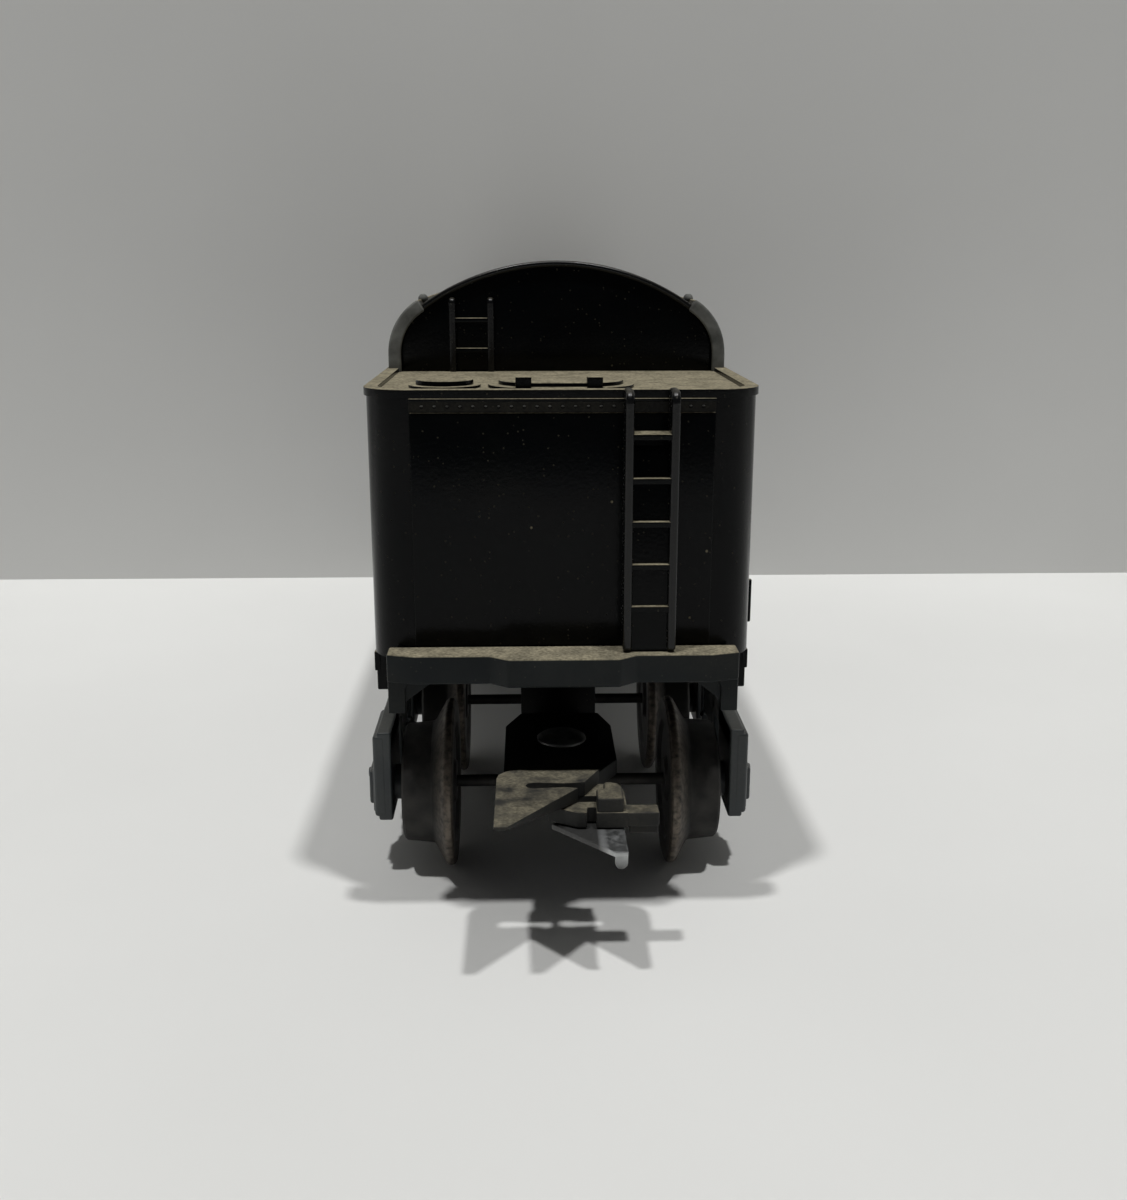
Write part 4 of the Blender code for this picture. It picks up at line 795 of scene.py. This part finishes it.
# Wheels: deep-flanged metal wheels pressed on plain steel axles.
# Their treads are dulled and brown from running, and the flange rims are rubbed paler.
BACK = 14.2
WHEEL_FACE = 21.1
RUB_START = 10.5
RUB_WIDTH = 0.8
wheel_metal, tree, shader, place = new_finish("worn_wheel_metal")
shader.inputs["Metallic"].default_value = 0.55
rub = tree.nodes.new("ShaderNodeAttribute")
rub.attribute_name = "rub"
stain = blend_colour(tree, blotches(tree, place, 300.0, 0.35, 0.65, 5.0), (0.013, 0.0128, 0.0122),
                     (0.036, 0.034, 0.031))
rubbed = combine(tree, "MULTIPLY", rub.outputs["Fac"], blotches(tree, place, 1400.0, 0.25, 0.6, 4.0))
tree.links.new(blend_colour(tree, rubbed, stain, (0.13, 0.108, 0.085)), shader.inputs["Base Color"])
tree.links.new(spread(tree, rubbed, 0.0, 1.0, 0.62, 0.4), shader.inputs["Roughness"])
grain(tree, place, shader, 1800.0, 0.25, 0.00015)

axle_profile = [(0, -23.4), (0.6, -23.4), (0.8, -23.0), (0.8, 23.0), (0.6, 23.4), (0, 23.4)]
wheel_profile = [
    (0.92, WHEEL_FACE), (2.4, WHEEL_FACE), (2.6, WHEEL_FACE - 0.15), (3.0, WHEEL_FACE - 0.9),
    (6.1, WHEEL_FACE - 0.9), (6.6, WHEEL_FACE - 0.1), (6.75, WHEEL_FACE), (7.7, WHEEL_FACE),
    (7.95, WHEEL_FACE - 0.3), (8.28, BACK + 3.15), (8.42, BACK + 2.87), (8.6, BACK + 2.72),
    (11.1, BACK + 1.3), (11.35, BACK + 1.0), (11.4, BACK + 0.7), (11.3, BACK + 0.25), (10.9, BACK),
    (8.2, BACK), (7.6, BACK + 0.5), (3.2, BACK + 0.5), (2.8, BACK), (0.92, BACK), (0.92, WHEEL_FACE),
]


def rub_rim(piece, axle_y):
    """Marks the flange's rim as rubbed by the rails."""
    marks = piece.data.attributes.new("rub", "FLOAT", "POINT")
    for vert, mark in zip(piece.data.vertices, marks.data):
        reach = math.hypot(vert.co.y / MM - axle_y, vert.co.z / MM - AXLE)
        mark.value = min(max((reach - RUB_START) / RUB_WIDTH, 0.0), 1.0)


for truck_end, y in KINGPINS.items():
    for axle_end, axle_y in (("rear", y - WHEELBASE / 2), ("front", y + WHEELBASE / 2)):
        wheelset = f"{truck_end}_truck_{axle_end}"
        body = wheelset + "_wheelset"
        axle = turned(axle_profile, (0, axle_y, AXLE), "X", 32)
        make_piece(wheelset + "_axle_turned", [axle], wheel_metal, "steel", body, wheelset + "_axle")
        for hand, side in (("left", -1), ("right", 1)):
            wheel = turned([(radius, side * x) for radius, x in wheel_profile], (0, axle_y, AXLE), "X", 96)
            node = f"{wheelset}_wheel_{hand}"
            rub_rim(make_piece(node + "_turned", [wheel], wheel_metal, "wheel_metal", body, node), axle_y)

# Coupler: a moulded two-level head on a flat shank, riveted loosely to the truck so that it can tilt.
# The left level is the hook plate with a slot, the right one carries a lug and a side stub.
HEAD = -82.3
TILT = 16.7
PLATE_TOP = TILT + 3.4
STEP = TILT + 1.6
LEVEL = TILT - 0.3
HOOK_TIP = HEAD - 16.6
SLOT = (HEAD - 4.05, HEAD - 5.75)

upper = plate([(4.4, HEAD), (2.41, SLOT[0]), (0.0, HEAD - 4.35), (-3.7, SLOT[0]), (-4.4, HEAD - 4.3),
               (-4.65, HEAD - 4.9), (-4.4, HEAD - 5.5), (-3.7, SLOT[1]), (0.0, HEAD - 5.45),
               (1.57, SLOT[1]), (1.5, HEAD - 5.9), (-6.7, HOOK_TIP), (-8.2, HOOK_TIP), (-8.2, HEAD - 2.6),
               (-7.96, HEAD - 1.5), (-7.44, HEAD - 0.76), (-6.7, HEAD - 0.24), (-5.6, HEAD)],
              "Z", STEP - 0.1, PLATE_TOP, 0)
for vert in upper.verts:
    if vert.co.y < HOOK_TIP + 0.6 and vert.co.z < PLATE_TOP - 1:
        vert.co.z = PLATE_TOP - 0.4
round_edges(upper, 0.12, 2)
coupler_plastic = dusty_plastic("grainy_coupler_plastic", (0.012, 0.0125, 0.0125), (0.024, 0.0245, 0.024),
                                gloss=0.6, shine=0.2, cover=0.4, veil=0.05, thin=0.06)
head = [
    upper,
    plate([(-2.0, HEAD - 0.3), (-2.0, SLOT[0]), (4.65, SLOT[0]), (4.65, SLOT[1]), (-2.0, SLOT[1]),
           (-2.0, HEAD - 7.0), (1.4, HEAD - 9.0), (2.5, HEAD - 9.0), (2.6, HEAD - 7.4), (3.6, HEAD - 7.4),
           (3.6, HEAD - 9.1), (7.3, HEAD - 9.1), (7.3, HEAD - 2.7), (7.1, HEAD - 1.7), (6.6, HEAD - 1.0),
           (5.9, HEAD - 0.5), (4.9, HEAD - 0.3)], "Z", LEVEL, STEP, 0.12),
    plate([(3.7, SLOT[1]), (3.7, HEAD - 8.9), (6.8, HEAD - 8.9), (6.8, HEAD - 5.1), (6.4, HEAD - 4.2),
           (5.5, HEAD - 3.85), (4.65, HEAD - 3.85), (4.65, SLOT[1])],
          "Z", LEVEL + 0.2, PLATE_TOP - 0.05, 0.35, 4),
    block((6.3, 11.0), (HEAD - 9.0, HEAD - 6.5), (LEVEL + 0.05, STEP - 0.05), 0.25, 3),
    block((7.5, 10.9), (HEAD - 8.8, HEAD - 6.6), (LEVEL - 0.9, STEP - 0.3), 0.25, 3),
]
make_piece("coupler_moulding", head, coupler_plastic, "frame_plastic", "coupler", "coupler_head")
# The shank takes the undusted copy of the black plastic, which paints the shade under the body.
shank = [
    plate([(-7.4, HEAD - 1.0), (-7.4, -64.6), (-5.4, -59.5), (5.4, -59.5), (6.9, -64.6), (6.9, -77.2),
           (3.8, HEAD), (3.8, HEAD - 1.0)], "Z", TILT + 0.5, TILT + 2.6, 0.2),
    block((-1.6, 1.6), (-77.5, -61.5), (TILT, TILT + 0.8), 0.1),
]
make_piece("coupler_shank", shank, undusted_shade_plastic, "frame_plastic", "coupler")

# Trip plate: a bright stamped strip under the coupler, staked to it and bent down at its tip.
# It shows bright steel on its right; its left part, where the upper plate's shadow falls, and its lowest
# edge, in the shade under the tip, are painted dark as shade.
TRIP_TIP = HEAD - 15.0
bright_steel, tree, shader, place = new_finish("stamped_bright_steel")
where = tree.nodes.new("ShaderNodeSeparateXYZ")
tree.links.new(place.outputs["Object"], where.inputs["Vector"])
# Painted shade: dark, dull and not metallic towards the left and towards the lowest edge.
clean_and_unshaded = combine(tree, "MULTIPLY", spread(tree, where.outputs["X"], 3.6 * MM, 4.8 * MM),
                spread(tree, where.outputs["Z"], 13.8 * MM, 15.8 * MM))
metal = blend_colour(tree, blotches(tree, place, 600.0, 0.35, 0.7), (0.36, 0.37, 0.37), (0.55, 0.56, 0.56))
trip_gloss = spread(tree, blotches(tree, place, 1500.0, 0.3, 0.7), 0.0, 1.0, 0.34, 0.5)
tree.links.new(blend_colour(tree, clean_and_unshaded, (0.03, 0.03, 0.029), metal), shader.inputs["Base Color"])
tree.links.new(clean_and_unshaded, shader.inputs["Metallic"])
tree.links.new(trip_gloss, shader.inputs["Roughness"])
grain(tree, place, shader, 3000.0, 0.12, 0.0001)
trip = [
    plate([(1.64, HEAD - 0.3), (1.64, HEAD - 5.0), (-1.64, HEAD - 7.3), (5.4, TRIP_TIP), (6.9, TRIP_TIP),
           (6.9, HEAD - 0.3)], "Z", TILT - 1.2, TILT - 0.5, 0.12),
    plate([(5.41, TILT - 0.8), (5.41, TILT - 1.96), (5.51, TILT - 2.33), (5.78, TILT - 2.6),
           (6.15, TILT - 2.7), (6.52, TILT - 2.6), (6.79, TILT - 2.33), (6.89, TILT - 1.96),
           (6.89, TILT - 0.8)], "Y", TRIP_TIP + 0.01, TRIP_TIP + 0.7, 0.12),
]
make_piece("trip_plate_stamping", trip, bright_steel, "steel", "coupler", "coupler_trip_plate")

# Drawbar: a flat steel link with an eye at each end, which hooks over a pin on the locomotive.
# It is stamped and left bright, and swings on a rivet under the floor.
DRAWBAR = (30.2, 31.2)
DRAWBAR_EYE = 95.3
DRAWBAR_HALF = 2.2


def eye(bore, outer, y):
    """A flat ring at the bar's height, with its outer edges eased."""
    low, high = DRAWBAR
    return turned([(bore, low), (outer - 0.1, low), (outer, low + 0.1), (outer, high - 0.1),
                   (outer - 0.1, high), (bore, high), (bore, low)], (0, y, 0), "Z")


bar = plate([(-DRAWBAR_HALF, DRAWBAR_PIVOT), (DRAWBAR_HALF, DRAWBAR_PIVOT), (DRAWBAR_HALF, DRAWBAR_EYE),
             (-DRAWBAR_HALF, DRAWBAR_EYE)], "Z", *DRAWBAR, 0.1)
eyes = [eye(1.45, 3.2, DRAWBAR_PIVOT), eye(2.1, 3.6, DRAWBAR_EYE)]
make_piece("drawbar_stamping", [bar] + eyes, steel, "steel", "drawbar_link", "drawbar")

# Floor and backdrop: matt white paper on a bench, with a greyer board standing behind the drawbar.
# From behind, the board lets the view and the shadows through, so that it hides nothing there.
# From here on sizes are metres.
STAGE_HALF = 1.6
BOARD_Y = 0.101


def paper(name, dull, clean_and_unshaded):
    """Matt paper, mottled very slightly."""
    finish, tree, shader, place = new_finish(name)
    mottle = blend_colour(tree, blotches(tree, place, 9.0, 0.3, 0.7), dull, clean_and_unshaded)
    tree.links.new(mottle, shader.inputs["Base Color"])
    shader.inputs["Roughness"].default_value = 0.95
    shader.inputs["Specular IOR Level"].default_value = 0.1
    return finish


def stage_sheet(name, matrix, finish):
    """A flat sheet of the stage."""
    shape = bmesh.new()
    bmesh.ops.create_grid(shape, x_segments=1, y_segments=1, size=STAGE_HALF, matrix=matrix)
    mesh = bpy.data.meshes.new(name)
    shape.to_mesh(mesh)
    shape.free()
    mesh.materials.append(finish)
    sheet = bpy.data.objects.new(name, mesh)
    bpy.context.scene.collection.objects.link(sheet)


white_paper = paper("white_paper", (0.72, 0.72, 0.70), (0.76, 0.76, 0.74))
grey_board = paper("grey_board", (0.70, 0.70, 0.685), (0.74, 0.74, 0.725))
tree = grey_board.node_tree
side_seen = tree.nodes.new("ShaderNodeNewGeometry")
ray = tree.nodes.new("ShaderNodeLightPath")
clear = tree.nodes.new("ShaderNodeBsdfTransparent")
one_sided = tree.nodes.new("ShaderNodeMixShader")
let_through = combine(tree, "MAXIMUM", ray.outputs["Is Camera Ray"], ray.outputs["Is Shadow Ray"])
from_behind = combine(tree, "MULTIPLY", let_through, side_seen.outputs["Backfacing"])
tree.links.new(from_behind, one_sided.inputs["Fac"])
tree.links.new(tree.nodes["Principled BSDF"].outputs["BSDF"], one_sided.inputs[1])
tree.links.new(clear.outputs["BSDF"], one_sided.inputs[2])
tree.links.new(one_sided.outputs["Shader"], tree.nodes["Material Output"].inputs["Surface"])
standing = Matrix.Translation((0, BOARD_Y, STAGE_HALF - 0.1)) @ Matrix.Rotation(math.pi / 2, 4, "X")
stage_sheet("paper_floor", Matrix.Identity(4), white_paper)
stage_sheet("backdrop_board", standing, grey_board)

# Lamps: two far overhead lamps a little on the viewer's side, which give the double shadow.
# The room is dim, and shows pale only where nothing else stands behind the model.
LAMP_STRENGTH = 1.33
LAMP_SPREAD = math.radians(3.2)
LAMP_SIDE = 0.15
LAMP_BACK = 0.215
LAMP_HEIGHT = 0.75
LAMP_SLANT = 0.125
DIM_ROOM = (0.05, 0.05, 0.052, 1.0)
PALE_ROOM = (0.6, 0.6, 0.59, 1.0)
for side in (-1, 1):
    data = bpy.data.lights.new(f"overhead_lamp_{side}", "SUN")
    data.energy = LAMP_STRENGTH
    data.angle = LAMP_SPREAD
    lamp = bpy.data.objects.new(f"overhead_lamp_{side}", data)
    lamp.location = (side * LAMP_SIDE, -LAMP_BACK, LAMP_HEIGHT)
    beam = Vector((-side * LAMP_SIDE, LAMP_SLANT, -LAMP_HEIGHT))
    lamp.rotation_euler = beam.to_track_quat("-Z", "Y").to_euler()
    bpy.context.scene.collection.objects.link(lamp)
world = bpy.data.worlds.new("soft_room")
world.use_nodes = True
room = world.node_tree
seen = room.nodes.new("ShaderNodeLightPath")
shade = room.nodes.new("ShaderNodeMix")
shade.data_type = "RGBA"
shade.inputs[6].default_value = DIM_ROOM
shade.inputs[7].default_value = PALE_ROOM
room.links.new(seen.outputs["Is Camera Ray"], shade.inputs["Factor"])
room.links.new(shade.outputs[2], room.nodes["Background"].inputs["Color"])
bpy.context.scene.world = world
bpy.context.scene.view_settings.view_transform = "Standard"

# Camera: behind the tender, level with the top of its bunker and looking slightly down.
# Its place and lens come from the tank's level lines and the wheels' spacing; angles are degrees.
LOOKING_DOWN = 14.7
TURNED_RIGHT = 1.52
lens = bpy.data.cameras.new("viewer")
lens.lens = 38.7
lens.sensor_width = 36.0
lens.clip_start = 0.01
camera = bpy.data.objects.new("viewer", lens)
camera.location = (-0.00394, -0.2302, 0.0804)
camera.rotation_euler = (math.radians(90 - LOOKING_DOWN), 0, math.radians(-TURNED_RIGHT))
bpy.context.scene.collection.objects.link(camera)
bpy.context.scene.camera = camera
